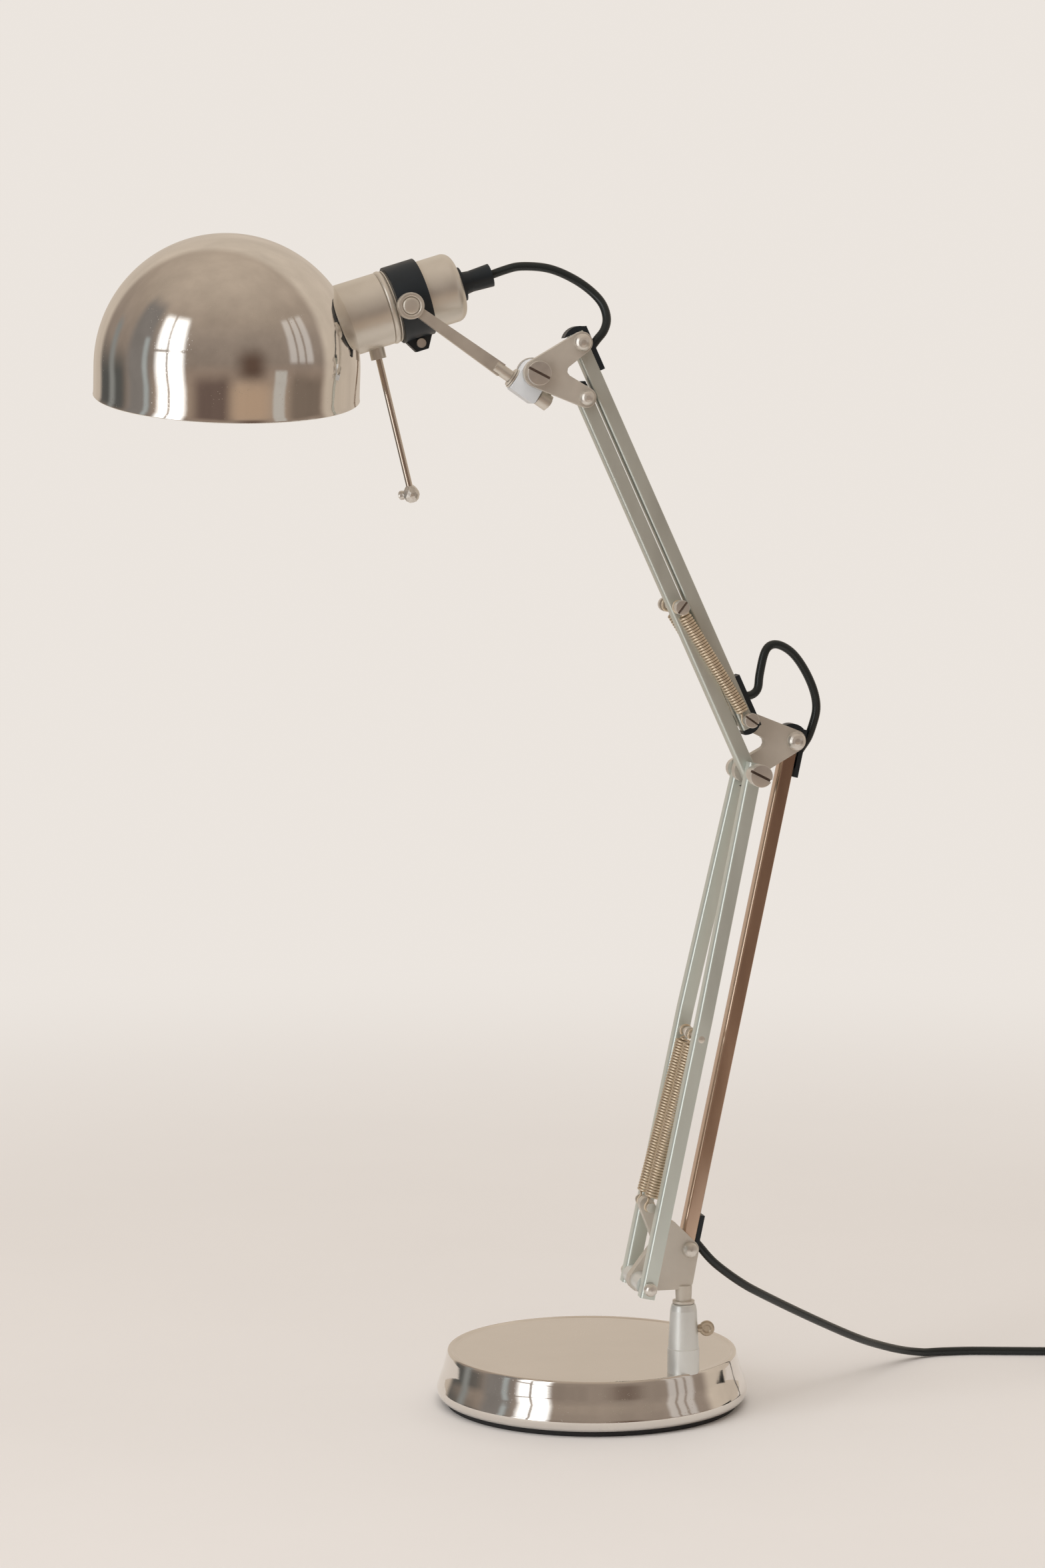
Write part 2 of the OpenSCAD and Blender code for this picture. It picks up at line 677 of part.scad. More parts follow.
module yoke_washers() color(nickel_c) in_arms() for (o = [block_l / 2 + 0.25, block_l / 2 + 1.15])
  on_stem(o) difference() {
    cylinder(d = o > block_l / 2 + 1 ? 8.6 : 9.6, h = 0.7, $fn = 36);
    translate([0, 0, -1]) cylinder(d = stem_yoke_d, h = 3, $fn = 28);
  }

// Collar on the stem's end, with a small round headed set screw
module yoke_nut() color(nickel_c) in_arms() on_stem(-block_l / 2 - 6.2) difference() {
  union() {
    cylinder(d = 7.6, h = 5.6, $fn = 32);
    translate([0, 0, 1.9]) rotate([0, 90, 0]) cylinder(d = 1.6, h = 6.4, $fn = 24);
    translate([6.1, 0, 1.9]) rotate([0, 90, 0]) cylinder(d = 3, h = 1.4, $fn = 24);
  }
  translate([0, 0, -1]) cylinder(d = stem_yoke_d, h = 8, $fn = 28);
}

// Lampholder: local Z runs along its axis to the shade
module on_holder() {
  in_arms() translate([hp[0], q_head, hp[1]]) rotate([0, -(90 + head_rise), 0]) children();
}

module pivot_button() color(nickel_c) in_arms() {
  across(vp, 8, q_stem - 2.6, q_strap + 0.5, 36);
  across(vp, 10, q_stem + 2.4, q_strap + 0.5, 36);
}

module holder_strap() color(black_c) difference() {
  strap_band();
  in_arms() across(vp, 10, -20, q_strap + 0.5, 36);
}

module strap_band() on_holder() difference() {
  union() {
    translate([0, 0, strap_to - strap_w]) cylinder(d = strap_d, h = strap_w, $fn = 48);
    translate([0, 2.4, 0]) rotate([90, 0, 0]) linear_extrude(4.8)
      polygon([[-12, strap_to], [-16.5, strap_to], [-23.4, 0], [-23.4, -5.8],
        [-15.4, strap_to - strap_w], [-12, strap_to - strap_w]]);
  }
  translate([0, 0, strap_to - strap_w - 3]) cylinder(d = rear_d + 2 * strap_slip, h = 30, $fn = 48);
  translate([-40, -0.4, strap_to - strap_w - 3]) cube([30, 0.8, 30]);
  translate([bolt_in[0], 0, bolt_in[1]]) rotate([90, 0, 0])
    cylinder(d = bolt_d + 2 * strap_slip, h = 20, center = true, $fn = 24);
}

module strap_bolt() color(nickel_c) on_holder() translate([bolt_in[0], 0, bolt_in[1]])
rotate([90, 0, 0]) {
  cylinder(d = bolt_d, h = 6, center = true, $fn = 24);
  translate([0, 0, 2.4]) cylinder(d = 4.3, h = 1.8, $fn = 28);
  translate([0, 0, -4.4]) rotate(30) cylinder(d = 4.6, h = 2, $fn = 6);
}

module rear_cup() color(nickel_c) on_holder() difference() {
  rotate_extrude($fn = 48) polygon(concat(
    [[0, -rear_end]],
    [for (i = [0 : 4]) [rear_d / 2 - rear_corner * (1 - sin(i * 22.5)),
      rear_corner * (1 - cos(i * 22.5)) - rear_end]],
    [[rear_d / 2, 4.6], [cup_d / 2, 4.6], [cup_d / 2, 5.4], [rear_d / 2 - 0.8, 5.4],
     [rear_d / 2 - 0.8, rear_corner - rear_end], [rear_d / 2 - rear_corner, 0.8 - rear_end],
     [0, 0.8 - rear_end]]));
  translate([0, 0, -30]) cylinder(d = 8, h = 6, $fn = 28);
}

module cup_ring() color(nickel_c) on_holder() difference() {
  rotate_extrude($fn = 48) polygon(concat(
    [[rear_d / 2 - 0.8, 5.4], [cup_d / 2 - 0.8, 5.4]],
    [for (a = [-60 : 30 : 60]) [cup_d / 2 - 1 + 1.4 * cos(a), 7.1 + 1.6 * sin(a)]],
    [[cup_d / 2 - 0.8, 8.8], [rear_d / 2 - 0.8, 8.8]]));
}

module front_cup() color(nickel_c) difference() {
  cup_shell();
  on_handle() translate([0, 0, cup_d / 2 - 0.6]) cylinder(d = 7.2, h = 5.2, $fn = 30);
}

module cup_shell() on_holder() difference() {
  translate([0, 0, 8.8]) cylinder(d = cup_d, h = cup_front - 6, $fn = 48);
  translate([0, 0, 9.8]) cylinder(d = cup_d - 1.8, h = 30, $fn = 48);
  cylinder(d = 25, h = 20, $fn = 36);
  translate([-shade_drop, 0, shade_c]) rotate([0, head_rise + 90, 0]) rotate([shade_roll, 0, 0])
    rotate_extrude($fn = 56) dome_fill();
}

// Insulating insert that holds the bulb's screw shell
module lamp_insert() color([0.9, 0.88, 0.82]) on_holder() difference() {
  union() {
    translate([0, 0, -18]) cylinder(d = 24.8, h = 40, $fn = 36);
    translate([0, 0, 5.6]) cylinder(d = rear_d - 2, h = 3.1, $fn = 36);
  }
  translate([0, 0, -4]) cylinder(d = 15.6, h = 40, $fn = 36);
  translate([0, 0, -20]) cylinder(d = 5, h = 20, $fn = 24);
}

module screw_shell() color(brass_c) on_holder() {
  difference() {
    translate([0, 0, -4]) cylinder(d = 15.6, h = 24, $fn = 36);
    translate([0, 0, -3.4]) cylinder(d = 14.5, h = 30, $fn = 36);
  }
}

// Small round bulb with its screw cap
module bulb() on_holder() {
  color(brass_c) translate([0, 0, -3.4]) cylinder(d = 13.6, h = 25.4, $fn = 32);
  color([0.95, 0.95, 0.92]) rotate_extrude($fn = 36) polygon(concat(
    [[0, 22], [7, 22], [9.5, 28]],
    [for (a = [-50 : 20 : 90]) [bulb_d / 2 * cos(a), 54 + bulb_d / 2 * sin(a)]]));
}

module strain_relief() color(black_c) on_holder() difference() {
  union() {
    rotate_extrude($fn = 32) polygon([[0, -28], [7.9, -28], [7.9, -30], [5.4, -30.2], [4.9, -34],
      [5.4, -relief_end], [0, -relief_end]]);
    translate([0, 0, -28.5]) cylinder(d = 7.9, h = 6.6, $fn = 28);
    translate([0, 0, -26.9]) cylinder(d = 10.4, h = 5, $fn = 28);
  }
  translate([0, 0, -50]) cylinder(d = cord_d + 0.2, h = 40, $fn = 24);
}

// Shade
function arc(r, a0, a1, n) = [for (i = [0 : n]) let (a = a0 + (a1 - a0) * i / n) [r * cos(a), r * sin(a)]];
module dome_fill() polygon(concat([[0, -skirt_h]], [[shade_r, -skirt_h]], arc(shade_r, 0, 90, dome_steps)));
module shade_wall() {
  ri = shade_r - shade_t;
  polygon(concat([[shade_r, -skirt_h]], arc(shade_r, 0, 90, dome_steps),
    [for (i = [dome_steps : -1 : 0]) [ri * cos(90 * i / dome_steps), ri * sin(90 * i / dome_steps)]],
    [[ri, -skirt_h + 0.6], [ri - 1, -skirt_h + 0.6], [ri - 1, -skirt_h]]));
}

module in_shade() {
  on_holder() translate([-shade_drop, 0, shade_c]) rotate([0, head_rise + 90, 0])
    rotate([shade_roll, 0, 0]) children();
}

module shade() color(chrome_c) difference() {
  in_shade() rotate_extrude($fn = 56) shade_wall();
  on_holder() translate([0, 0, 5]) cylinder(d = cup_d - 3, h = 40, $fn = 40);
}

// Handle
module on_handle() {
  on_holder() translate([0, 0, handle_at]) rotate([0, handle_lean - 90, 0]) children();
}

module handle_boss() color(nickel_c) on_handle() difference() {
  translate([0, 0, cup_d / 2 - 0.6]) cylinder(d = 7.2, h = 5.2, $fn = 30);
  translate([0, 0, cup_d / 2 + 1.6]) cylinder(d = 3, h = 8, $fn = 24);
}

module handle_rod() color(nickel_c) on_handle()
  translate([0, 0, cup_d / 2 + 1.6]) cylinder(d = 3, h = handle_len + 3, $fn = 24);

module handle_knob() color(nickel_c) on_handle() translate([0, 0, cup_d / 2 + handle_len + 3.6])
difference() {
  union() {
    rotate_extrude($fn = 12) polygon(concat([[0, -1.2], [2.2, -1.2]],
      [for (a = [-40 : 26 : 90]) [3.9 * cos(a), 2.6 + 3.9 * sin(a)]], [[0, 6.5]]));
    translate([0, 0, 2.2]) rotate([0, 90, 40]) cylinder(d = 3.2, h = 5.4, $fn = 24);
  }
  translate([0, 0, -2]) cylinder(d = 3, h = 3, $fn = 24);
}

// Springs in place
module lower_spring_near() color(spring_c) in_arms() spring(anchor, low_pin, q_low_near, lower_spring_d);
module lower_spring_far() color(spring_c) in_arms() spring(anchor, low_pin, q_low_far, lower_spring_d);
module upper_spring_near() color(spring_c) in_arms() spring(sp, up_pin, q_spring_near, upper_spring_d);
module upper_spring_far() color(spring_c) in_arms() spring(sp, up_pin, q_spring_far, upper_spring_d);

// Lead
// A point of the arms' plane as [along, across, height]
function arm3(p, q) = [p[0], q, p[1]];
function to_world(v) = [post_x + v[0] * cos(arm_yaw) - v[1] * sin(arm_yaw),
  post_y + v[0] * sin(arm_yaw) + v[1] * cos(arm_yaw), v[2]];
holder_end = polar(hp, relief_end, head_rise);
// A point on the lead's way through a moulded end, k outside it
function gate3(p, q, lean, gate, way, k) = arm3(on_bar(p, lean, gate + k * way), q);
function bar3(p, q, lean, v) = arm3(on_bar(p, lean, v), q);

head_route = concat([arm3(polar(holder_end, -8, head_rise), q_head)],
  route([arm3(holder_end, q_head), arm3(holder_end + [6.5, 2.4], 12.8), arm3(holder_end + [13.5, 4], 10.6),
    arm3(holder_end + [26.4, 2.8], 7), arm3(holder_end + [39.2, -3.2], 3.8), arm3(t2 + [11.7, 19.6], 0.4),
    arm3(t2 + [14.1, 11.6], -3.4), arm3(t2 + [12.2, 5.5], -5.9),
    gate3(t2, q_up, -upper_lean, top_gate, top_way, 4)], 2),
  [gate3(t2, q_up, -upper_lean, top_gate, top_way, -4.5)]);
elbow_route = concat([gate3(sp, q_up, -upper_lean, knee_gate, knee_way, -4.5)],
  route([gate3(sp, q_up, -upper_lean, knee_gate, knee_way, 1.6), arm3(sp + [6.9, 13.2], -6.2),
    arm3(sp + [8.2, 20], -4.6), arm3(sp + [11.7, 31.3], -2.3), arm3(sp + [16.9, 34], -1.2),
    arm3(sp + [24.5, 30.4], 0), arm3(sp + [31, 22.7], 1.2), arm3(sp + [36.3, 12.5], 2.6),
    arm3(sp + [38.5, 3.3], 4.4), arm3(sp + [37, -5.2], 6),
    gate3(rp, q_back, lower_lean, rear_gate, rear_way, 5)], 2),
  [gate3(rp, q_back, lower_lean, rear_gate, rear_way, -7)]);
upper_run = concat([gate3(t2, q_up, -upper_lean, top_gate, top_way, -4.5)],
  [gate3(t2, q_up, -upper_lean, top_gate, top_way, -5)],
  [for (v = [[0.8, -7.3], [0.2, -9.6], [0, -13], [0, -65], [0, -120]]) bar3(t2, q_up, -upper_lean, v)],
  [for (v = [[0, 18], [0.2, 14.6], [0.8, 12.3]]) bar3(sp, q_up, -upper_lean, v)],
  [gate3(sp, q_up, -upper_lean, knee_gate, knee_way, -5)],
  [gate3(sp, q_up, -upper_lean, knee_gate, knee_way, -4.5)]);
lower_run = concat([gate3(rp, q_back, lower_lean, rear_gate, rear_way, -7)],
  [gate3(rp, q_back, lower_lean, rear_gate, rear_way, -7.6)],
  [for (v = [[1.6, -13.8], [0.5, -18.4], [0, -24], [0, -85], [0, -150]]) bar3(rp, q_back, lower_lean, v)],
  [for (v = [[0, 15], [0.3, 10.6], [1, 7.4]]) bar3(p2, q_back, lower_lean, v)],
  [gate3(p2, q_back, lower_lean, low_gate, low_way, -5)],
  [gate3(p2, q_back, lower_lean, low_gate, low_way, -4.5)]);

module cord_head_loop() color(black_c) in_arms() tube(head_route, cord_d / 2, 8);
module cord_elbow_loop() color(black_c) in_arms() tube(elbow_route, cord_d / 2, 8);
module cord_upper_run() color(black_c) in_arms() tube(upper_run, cord_d / 2, 8);
module cord_lower_run() color(black_c) in_arms() tube(lower_run, cord_d / 2, 8);

// From the lower bar down to the floor, to the right and away
drop_end = [174, 91, 2.3];
floor_way = unit([16, 3, -0.3]);
drop_route = concat([to_world(gate3(p2, q_back, lower_lean, low_gate, low_way, -4.5))],
  route([to_world(gate3(p2, q_back, lower_lean, low_gate, low_way, 2)), [57.5, -35, 75], [70, -26, 64],
    [82, -14, 55], [107, 16, 37], [134, 48, 21], [160, 83, 5.5], drop_end - 4 * floor_way], 3), [drop_end]);
lead_route = concat([drop_end], route([drop_end + 4 * floor_way, [193, 94, cord_d / 2],
    [210, lead_y, cord_d / 2],
  [240, lead_y, cord_d / 2], [258, lead_y, cord_d / 2 + 0.5], [coil_x - 7, lead_y, coil_z],
  [coil_x - 3, lead_y, coil_z]], 2), [[coil_x - 1, lead_y, coil_z]]);

module cord_drop() color(black_c) tube(drop_route, cord_d / 2, 8);
module cord_lead() color(black_c) tube(lead_route, cord_d / 2, 8);

// The coil goes in and out in four layers
coil_span = coil_layer_loops + coil_rise;
coil_all = coil_layers * coil_layer_loops + (coil_layers - 1) * coil_rise;
function coil_r(k, u) = let (w = min(u, coil_layer_loops) * coil_pitch)
  k % 2 == 0 ? coil_out - w : coil_in + w;
function coil_at(t) = let (k = min(floor(t / coil_span + 0.0001), coil_layers - 1), u = t - k * coil_span,
  r = coil_r(k, u), a = 90 - 360 * t, up = max(0, u - coil_layer_loops) / coil_rise)
  [coil_x + r * cos(a), coil_y + r * sin(a), coil_z + (k + up) * coil_pitch];
coil_rings = ceil(coil_all * 24);
coil_path = concat([[coil_x - 1, lead_y, coil_z], [coil_x, lead_y, coil_z]],
  [for (i = [1 : coil_rings - 1]) coil_at(coil_all * i / coil_rings)], [coil_at(coil_all)],
  [coil_at(coil_all) + [cord_d, 0, 0]]);
module cord_coil() color(black_c) {
  echo("coil least gap", least_gap(coil_path, cord_d, 12));
  tube(coil_path, cord_d / 2, 6);
}

// Strap round the coil's bundle, on the side away from the lead
module coil_tie() color([0.14, 0.14, 0.15]) translate([coil_x, coil_y, 0]) rotate([90, 0, -60]) {
  top = coil_z + (coil_layers - 1) * coil_pitch + cord_d / 2 + 0.3;
  low = coil_z - cord_d / 2 - 0.3;
  translate([0, 0, -3.5]) linear_extrude(7) difference() {
    polygon([[coil_in - cord_d / 2 - 1.3, low - tie_t], [coil_out + cord_d / 2 + 1.3, low - tie_t],
      [coil_out + cord_d / 2 + 1.3, top + tie_t], [coil_in - cord_d / 2 - 1.3, top + tie_t]]);
    polygon([[coil_in - cord_d / 2 - 0.3, low], [coil_out + cord_d / 2 + 0.3, low],
      [coil_out + cord_d / 2 + 0.3, top], [coil_in - cord_d / 2 - 0.3, top]]);
  }
}

// Flat two pin plug with the last of the lead moulded in
module plug() color(black_c) {
  top = coil_z + (coil_layers - 1) * coil_pitch;
  tube(concat([coil_at(coil_all) + [cord_d, 0, 0]], route([coil_at(coil_all) + [cord_d + 2, 0, 0],
    [coil_x + 14, lead_y, top - 0.6], [coil_x + 28, lead_y, top - 5], [coil_x + 46, lead_y, plug_z + 1],
    [plug_x, lead_y, plug_z]], 2)), cord_d / 2, 8);
  translate([plug_x - 4, lead_y, plug_z]) rotate([0, 90, 0]) cylinder(d1 = 6.5, d2 = 9, h = 12, $fn = 24);
  hull() {
    translate([plug_x + 7, lead_y - 6, plug_z - 4.5]) cube([3, 12, 9]);
    translate([plug_x + 24, lead_y - 17.5, 0.6]) cube([6, 35, 13.6]);
  }
  color(brass_c) for (o = [-9.3, 9.3]) translate([plug_x + 29, lead_y + o, plug_z]) rotate([0, 90, 0])
    cylinder(d = 4, h = 20, $fn = 24);
}

base_pad();
base_weight();
base_cover();
post();
post_nut();
thumb_screw();
bracket_casting();
bracket_bolt();
bracket_spacers();
cord_bar_rivet();
spring_anchor();
lower_front_bar();
lower_back_bar();
lower_spring_pin();
lower_cord_bar();
lower_cord_bar_caps();
elbow_casting();
elbow_screw();
elbow_cord_bar_rivet();
spring_stud();
upper_plain_bar();
upper_plain_bar_caps();
upper_spring_pin();
upper_cord_bar();
upper_cord_bar_caps();
head_casting();
head_rivets();
tilt_screw();
tilt_block();
yoke_arm();
yoke_washers();
yoke_nut();
pivot_button();
holder_strap();
strap_bolt();
rear_cup();
cup_ring();
front_cup();
strain_relief();
lamp_insert();
screw_shell();
bulb();
shade();
handle_boss();
handle_rod();
handle_knob();
lower_spring_near();
lower_spring_far();
upper_spring_near();
upper_spring_far();
cord_head_loop();
cord_upper_run();
cord_elbow_loop();
cord_lower_run();
cord_drop();
cord_lead();
cord_coil();
coil_tie();
plug();
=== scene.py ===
import json
import math

import bmesh
import bpy
import numpy as np
from mathutils import Matrix, Vector

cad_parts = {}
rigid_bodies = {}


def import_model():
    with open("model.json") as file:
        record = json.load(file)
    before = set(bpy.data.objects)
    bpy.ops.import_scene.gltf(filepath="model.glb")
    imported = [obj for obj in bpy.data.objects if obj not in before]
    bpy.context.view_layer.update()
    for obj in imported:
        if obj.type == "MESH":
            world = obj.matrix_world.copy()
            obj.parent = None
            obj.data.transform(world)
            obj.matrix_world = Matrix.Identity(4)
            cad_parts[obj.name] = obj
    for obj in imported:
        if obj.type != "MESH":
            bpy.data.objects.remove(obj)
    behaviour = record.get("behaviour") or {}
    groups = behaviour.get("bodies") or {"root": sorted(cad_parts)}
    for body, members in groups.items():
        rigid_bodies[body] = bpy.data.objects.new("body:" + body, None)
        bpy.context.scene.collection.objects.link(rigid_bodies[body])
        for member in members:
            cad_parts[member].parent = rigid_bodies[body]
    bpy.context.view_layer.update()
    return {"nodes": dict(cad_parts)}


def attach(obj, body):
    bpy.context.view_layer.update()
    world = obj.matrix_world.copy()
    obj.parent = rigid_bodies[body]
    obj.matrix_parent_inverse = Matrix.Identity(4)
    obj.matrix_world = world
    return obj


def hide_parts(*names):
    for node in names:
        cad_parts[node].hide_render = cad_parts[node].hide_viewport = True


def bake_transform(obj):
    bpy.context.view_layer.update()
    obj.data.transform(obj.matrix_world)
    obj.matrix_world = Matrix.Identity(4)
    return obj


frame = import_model()
NODES = frame["nodes"]
MM = 0.001

# The camera of the photograph
camera = bpy.data.objects.new("camera", bpy.data.cameras.new("camera"))
bpy.context.scene.collection.objects.link(camera)
bpy.context.scene.camera = camera
camera.data.lens = 93.98
camera.data.sensor_width = 36
camera.data.sensor_fit = "AUTO"
camera.data.clip_start = 0.05
camera.data.clip_end = 60
camera.location = (-0.03354, -1.94557, 0.48362)
camera.rotation_euler = (math.radians(84.6), 0, 0)

# The model's own measures, in millimetres; angles in degrees where nothing else is said
YAW = math.radians(12.2)  # the arms stand in one upright plane, turned by this about the post
POST = (42.453, -46.006)
UPPER_TILT, LOWER_TILT = 24.5, 11.84  # how far the pairs of bars lean from upright
UPPER_LEAN, LOWER_LEAN = math.radians(-UPPER_TILT), math.radians(LOWER_TILT)
UPPER_LEN, LOWER_LEN = 190.6, 244.6  # between the pivots of a bar
UPPER_LINK, LOWER_LINK = (25.1, 95), (27.8, 29.3)  # from one bar of a pair to the other: distance and angle
BASE_H, LIP_D = 26.0, 139.0
CORD_D = 4.0
CUP_D, SHADE_D, SHADE_T, SKIRT, BULB_D = 33.4, 121.0, 1.0, 13.5, 38.0
HEAD_RISE, SHADE_ROLL = 17.2, 11.2
HOLD_UP = 1.8  # the lampholder's axis over the pivot that it tilts on
SHADE_DROP, SHADE_SEAT = 4.3, 0.4  # the shade's centre below the holder's axis, and its depth in the cup
CUP_FRONT, RELIEF_END = 29.1, 43.8  # the front cup's end and the lead's exit, from the pivot
HANDLE_AT, HANDLE_LEAN, HANDLE_LEN = 16.1, 3.6, 62  # the handle's place along that axis, its lean, its rod
KNOB_OVER = 3.6  # the knob's foot above the rod's own length


def polar(p, r, a):
    """The point at distance r and a degrees from p."""
    return (p[0] + r * math.cos(math.radians(a)), p[1] + r * math.sin(math.radians(a)))


# Pivots in the arms' plane, along and up
P1 = (-22.0, 70.5)  # lower main bars on the bracket
P2 = polar(P1, *LOWER_LINK)  # the lead's bar on the bracket
EL = polar(P1, LOWER_LEN, 90 - LOWER_TILT)  # elbow screw
RP = polar(EL, *LOWER_LINK)  # the lead's lower bar on the elbow
SP = polar(EL, *UPPER_LINK)  # the lead's upper bar on the elbow
T1 = polar(EL, UPPER_LEN, 90 + UPPER_TILT)  # upper main bar on the head bracket
T2 = polar(T1, *UPPER_LINK)  # the lead's upper bar on the head bracket
KP = (T1[0] - 22.7, T1[1] + 11.1)  # tilt screw
VP = (KP[0] - 57.4, KP[1] + 30.3)  # the lampholder on the yoke
HP = (  # the lampholder's axis above that pivot
    VP[0] - HOLD_UP * math.sin(math.radians(HEAD_RISE)),
    VP[1] + HOLD_UP * math.cos(math.radians(HEAD_RISE)),
)
ANCHOR = (P1[0] + 3.5, P1[1] + 36)  # the lower springs' fixed end; the upper springs' is at SP
LOW_PIN = polar(P1, 119, 90 - LOWER_TILT)  # the pins that the springs pull on
UP_PIN = polar(EL, 85.2, 90 + UPPER_TILT)
# Depths across that plane, minus towards the viewer
Q_UP, Q_BACK, Q_HEAD, Q_STEM, Q_PLATE = -6.9, 6.9, 14.7, -6.0, -14.5
FRONT_BAR_Q, BACK_BAR_Q = -18.6, 16.4


def world(s, q, z):
    """A point given along, across and up in the arms' frame in millimetres, as metres in the row frame."""
    return Vector((
        POST[0] + s * math.cos(YAW) - q * math.sin(YAW),
        POST[1] + s * math.sin(YAW) + q * math.cos(YAW),
        z,
    )) * MM


ARMS = Matrix.Translation(Vector((POST[0], POST[1], 0)) * MM) @ Matrix.Rotation(YAW, 4, "Z")
ACROSS = (ARMS.to_3x3() @ Vector((0, 1, 0))).normalized()
HOLDER = (
    ARMS
    @ Matrix.Translation(Vector((HP[0], Q_HEAD, HP[1])) * MM)
    @ Matrix.Rotation(math.radians(-(90 + HEAD_RISE)), 4, "Y")
)
SHADE_R = SHADE_D / 2
SHADE_C = CUP_FRONT + math.sqrt(SHADE_R**2 - (CUP_D / 2 + SHADE_DROP) ** 2) - SHADE_SEAT
IN_SHADE = (
    HOLDER
    @ Matrix.Translation(Vector((-SHADE_DROP, 0, SHADE_C)) * MM)
    @ Matrix.Rotation(math.radians(HEAD_RISE + 90), 4, "Y")
    @ Matrix.Rotation(math.radians(SHADE_ROLL), 4, "X")
)
ON_HANDLE = (
    HOLDER
    @ Matrix.Translation(Vector((0, 0, HANDLE_AT)) * MM)
    @ Matrix.Rotation(math.radians(HANDLE_LEAN - 90), 4, "Y")
)


# Mesh helpers
def smooth_shading(mesh, sharp):
    """Shades a mesh smooth; edges over sharp degrees stay hard."""
    mesh.polygons.foreach_set("use_smooth", [True] * len(mesh.polygons))
    mesh.set_sharp_from_angle(angle=math.radians(sharp))


def piece(name, verts, faces, smooth=True, sharp=40):
    """A new object in the scene."""
    mesh = bpy.data.meshes.new(name)
    mesh.from_pydata([tuple(v) for v in verts], [], faces)
    mesh.update()
    if smooth:
        smooth_shading(mesh, sharp)
    obj = bpy.data.objects.new(name, mesh)
    bpy.context.scene.collection.objects.link(obj)
    return obj


def lathe_data(profile, segments, matrix=None, closed=True):
    """A profile of (radius, height) in mm, turned about Z, as vertices and faces; radius 0 makes a pole."""
    verts, rings, faces = [], [], []
    for r, z in profile:
        if abs(r) < 1e-6:
            rings.append([len(verts)])
            verts.append(Vector((0, 0, z)) * MM)
        else:
            ring = []
            for k in range(segments):
                a = 2 * math.pi * k / segments
                ring.append(len(verts))
                verts.append(Vector((r * math.cos(a), r * math.sin(a), z)) * MM)
            rings.append(ring)
    pairs = list(zip(rings, rings[1:]))
    if closed:
        pairs.append((rings[-1], rings[0]))
    for a, b in pairs:
        for k in range(segments):
            m = (k + 1) % segments
            if len(a) == 1 and len(b) == 1:
                continue
            if len(a) == 1:
                faces.append((a[0], b[m], b[k]))
            elif len(b) == 1:
                faces.append((a[k], a[m], b[0]))
            else:
                faces.append((a[k], a[m], b[m], b[k]))
    if matrix is not None:
        verts = [matrix @ v for v in verts]
    return verts, faces


def lathe(name, profile, segments=64, matrix=None, closed=True, sharp=40):
    """A turned piece."""
    verts, faces = lathe_data(profile, segments, matrix, closed)
    obj = piece(name, verts, faces, sharp=sharp)
    outward(obj, sharp)
    return obj


def outward(obj, sharp=40):
    """Turns all faces outwards."""
    bm = bmesh.new()
    bm.from_mesh(obj.data)
    bmesh.ops.recalc_face_normals(bm, faces=bm.faces)
    bm.to_mesh(obj.data)
    bm.free()
    smooth_shading(obj.data, sharp)


def arc(cx, cz, r, a0, a1, n):
    """Points of a profile on n steps of an arc from a0 to a1 degrees."""
    turns = [math.radians(a0 + (a1 - a0) * i / n) for i in range(n + 1)]
    return [(cx + r * math.cos(a), cz + r * math.sin(a)) for a in turns]


def frames(points):
    """Tangents and carried normals along a path."""
    p = np.asarray(points, float)
    t = np.empty_like(p)
    t[1:-1] = p[2:] - p[:-2]
    t[0], t[-1] = p[1] - p[0], p[-1] - p[-2]
    t /= np.linalg.norm(t, axis=1)[:, None]
    n = np.empty_like(p)
    start = np.array([0.0, 0.0, 1.0]) if abs(t[0][2]) < 0.9 else np.array([1.0, 0.0, 0.0])
    for i in range(len(p)):
        start = start - t[i] * (start @ t[i])
        start /= np.linalg.norm(start)
        n[i] = start
    return p, t, n


def tube_data(p, t, n, radius, sides):
    """Tube along ready frames; radius is a number or one per ring."""
    r = np.broadcast_to(np.asarray(radius, float), (len(p),))
    b = np.cross(t, n)
    a = np.arange(sides) * 2 * math.pi / sides
    out = n[:, None, :] * np.cos(a)[None, :, None] + b[:, None, :] * np.sin(a)[None, :, None]
    verts = (p[:, None, :] + r[:, None, None] * out).reshape(-1, 3)
    faces = []
    for i in range(len(p) - 1):
        for k in range(sides):
            m = (k + 1) % sides
            faces.append((i * sides + k, i * sides + m, (i + 1) * sides + m, (i + 1) * sides + k))
    faces.append(tuple(range(sides - 1, -1, -1)))
    faces.append(tuple((len(p) - 1) * sides + k for k in range(sides)))
    return [Vector(v) for v in verts], faces


def route(points, n):
    """The model's smooth route (Catmull-Rom) through given points, n steps from one to the next."""
    p = [np.array(q, float) for q in points]
    out = []
    for i in range(len(p) - 1):
        a, b, c, d = p[max(i - 1, 0)], p[i], p[i + 1], p[min(i + 2, len(p) - 1)]
        for k in range(n):
            u = k / n
            square, cube = 2 * a - 5 * b + 4 * c - d, 3 * b - a - 3 * c + d
            out.append(0.5 * (2 * b + (c - a) * u + square * u * u + cube * u**3))
    out.append(p[-1])
    return out


def even(points, step):
    """The same line with points a step apart."""
    p = np.asarray(points, float)
    keep = np.r_[True, np.linalg.norm(np.diff(p, axis=0), axis=1) > 1e-9]
    p = p[keep]
    along = np.r_[0, np.cumsum(np.linalg.norm(np.diff(p, axis=0), axis=1))]
    count = max(2, int(round(along[-1] / step)) + 1)
    at = np.linspace(0, along[-1], count)
    return np.stack([np.interp(at, along, p[:, k]) for k in range(3)], axis=1)


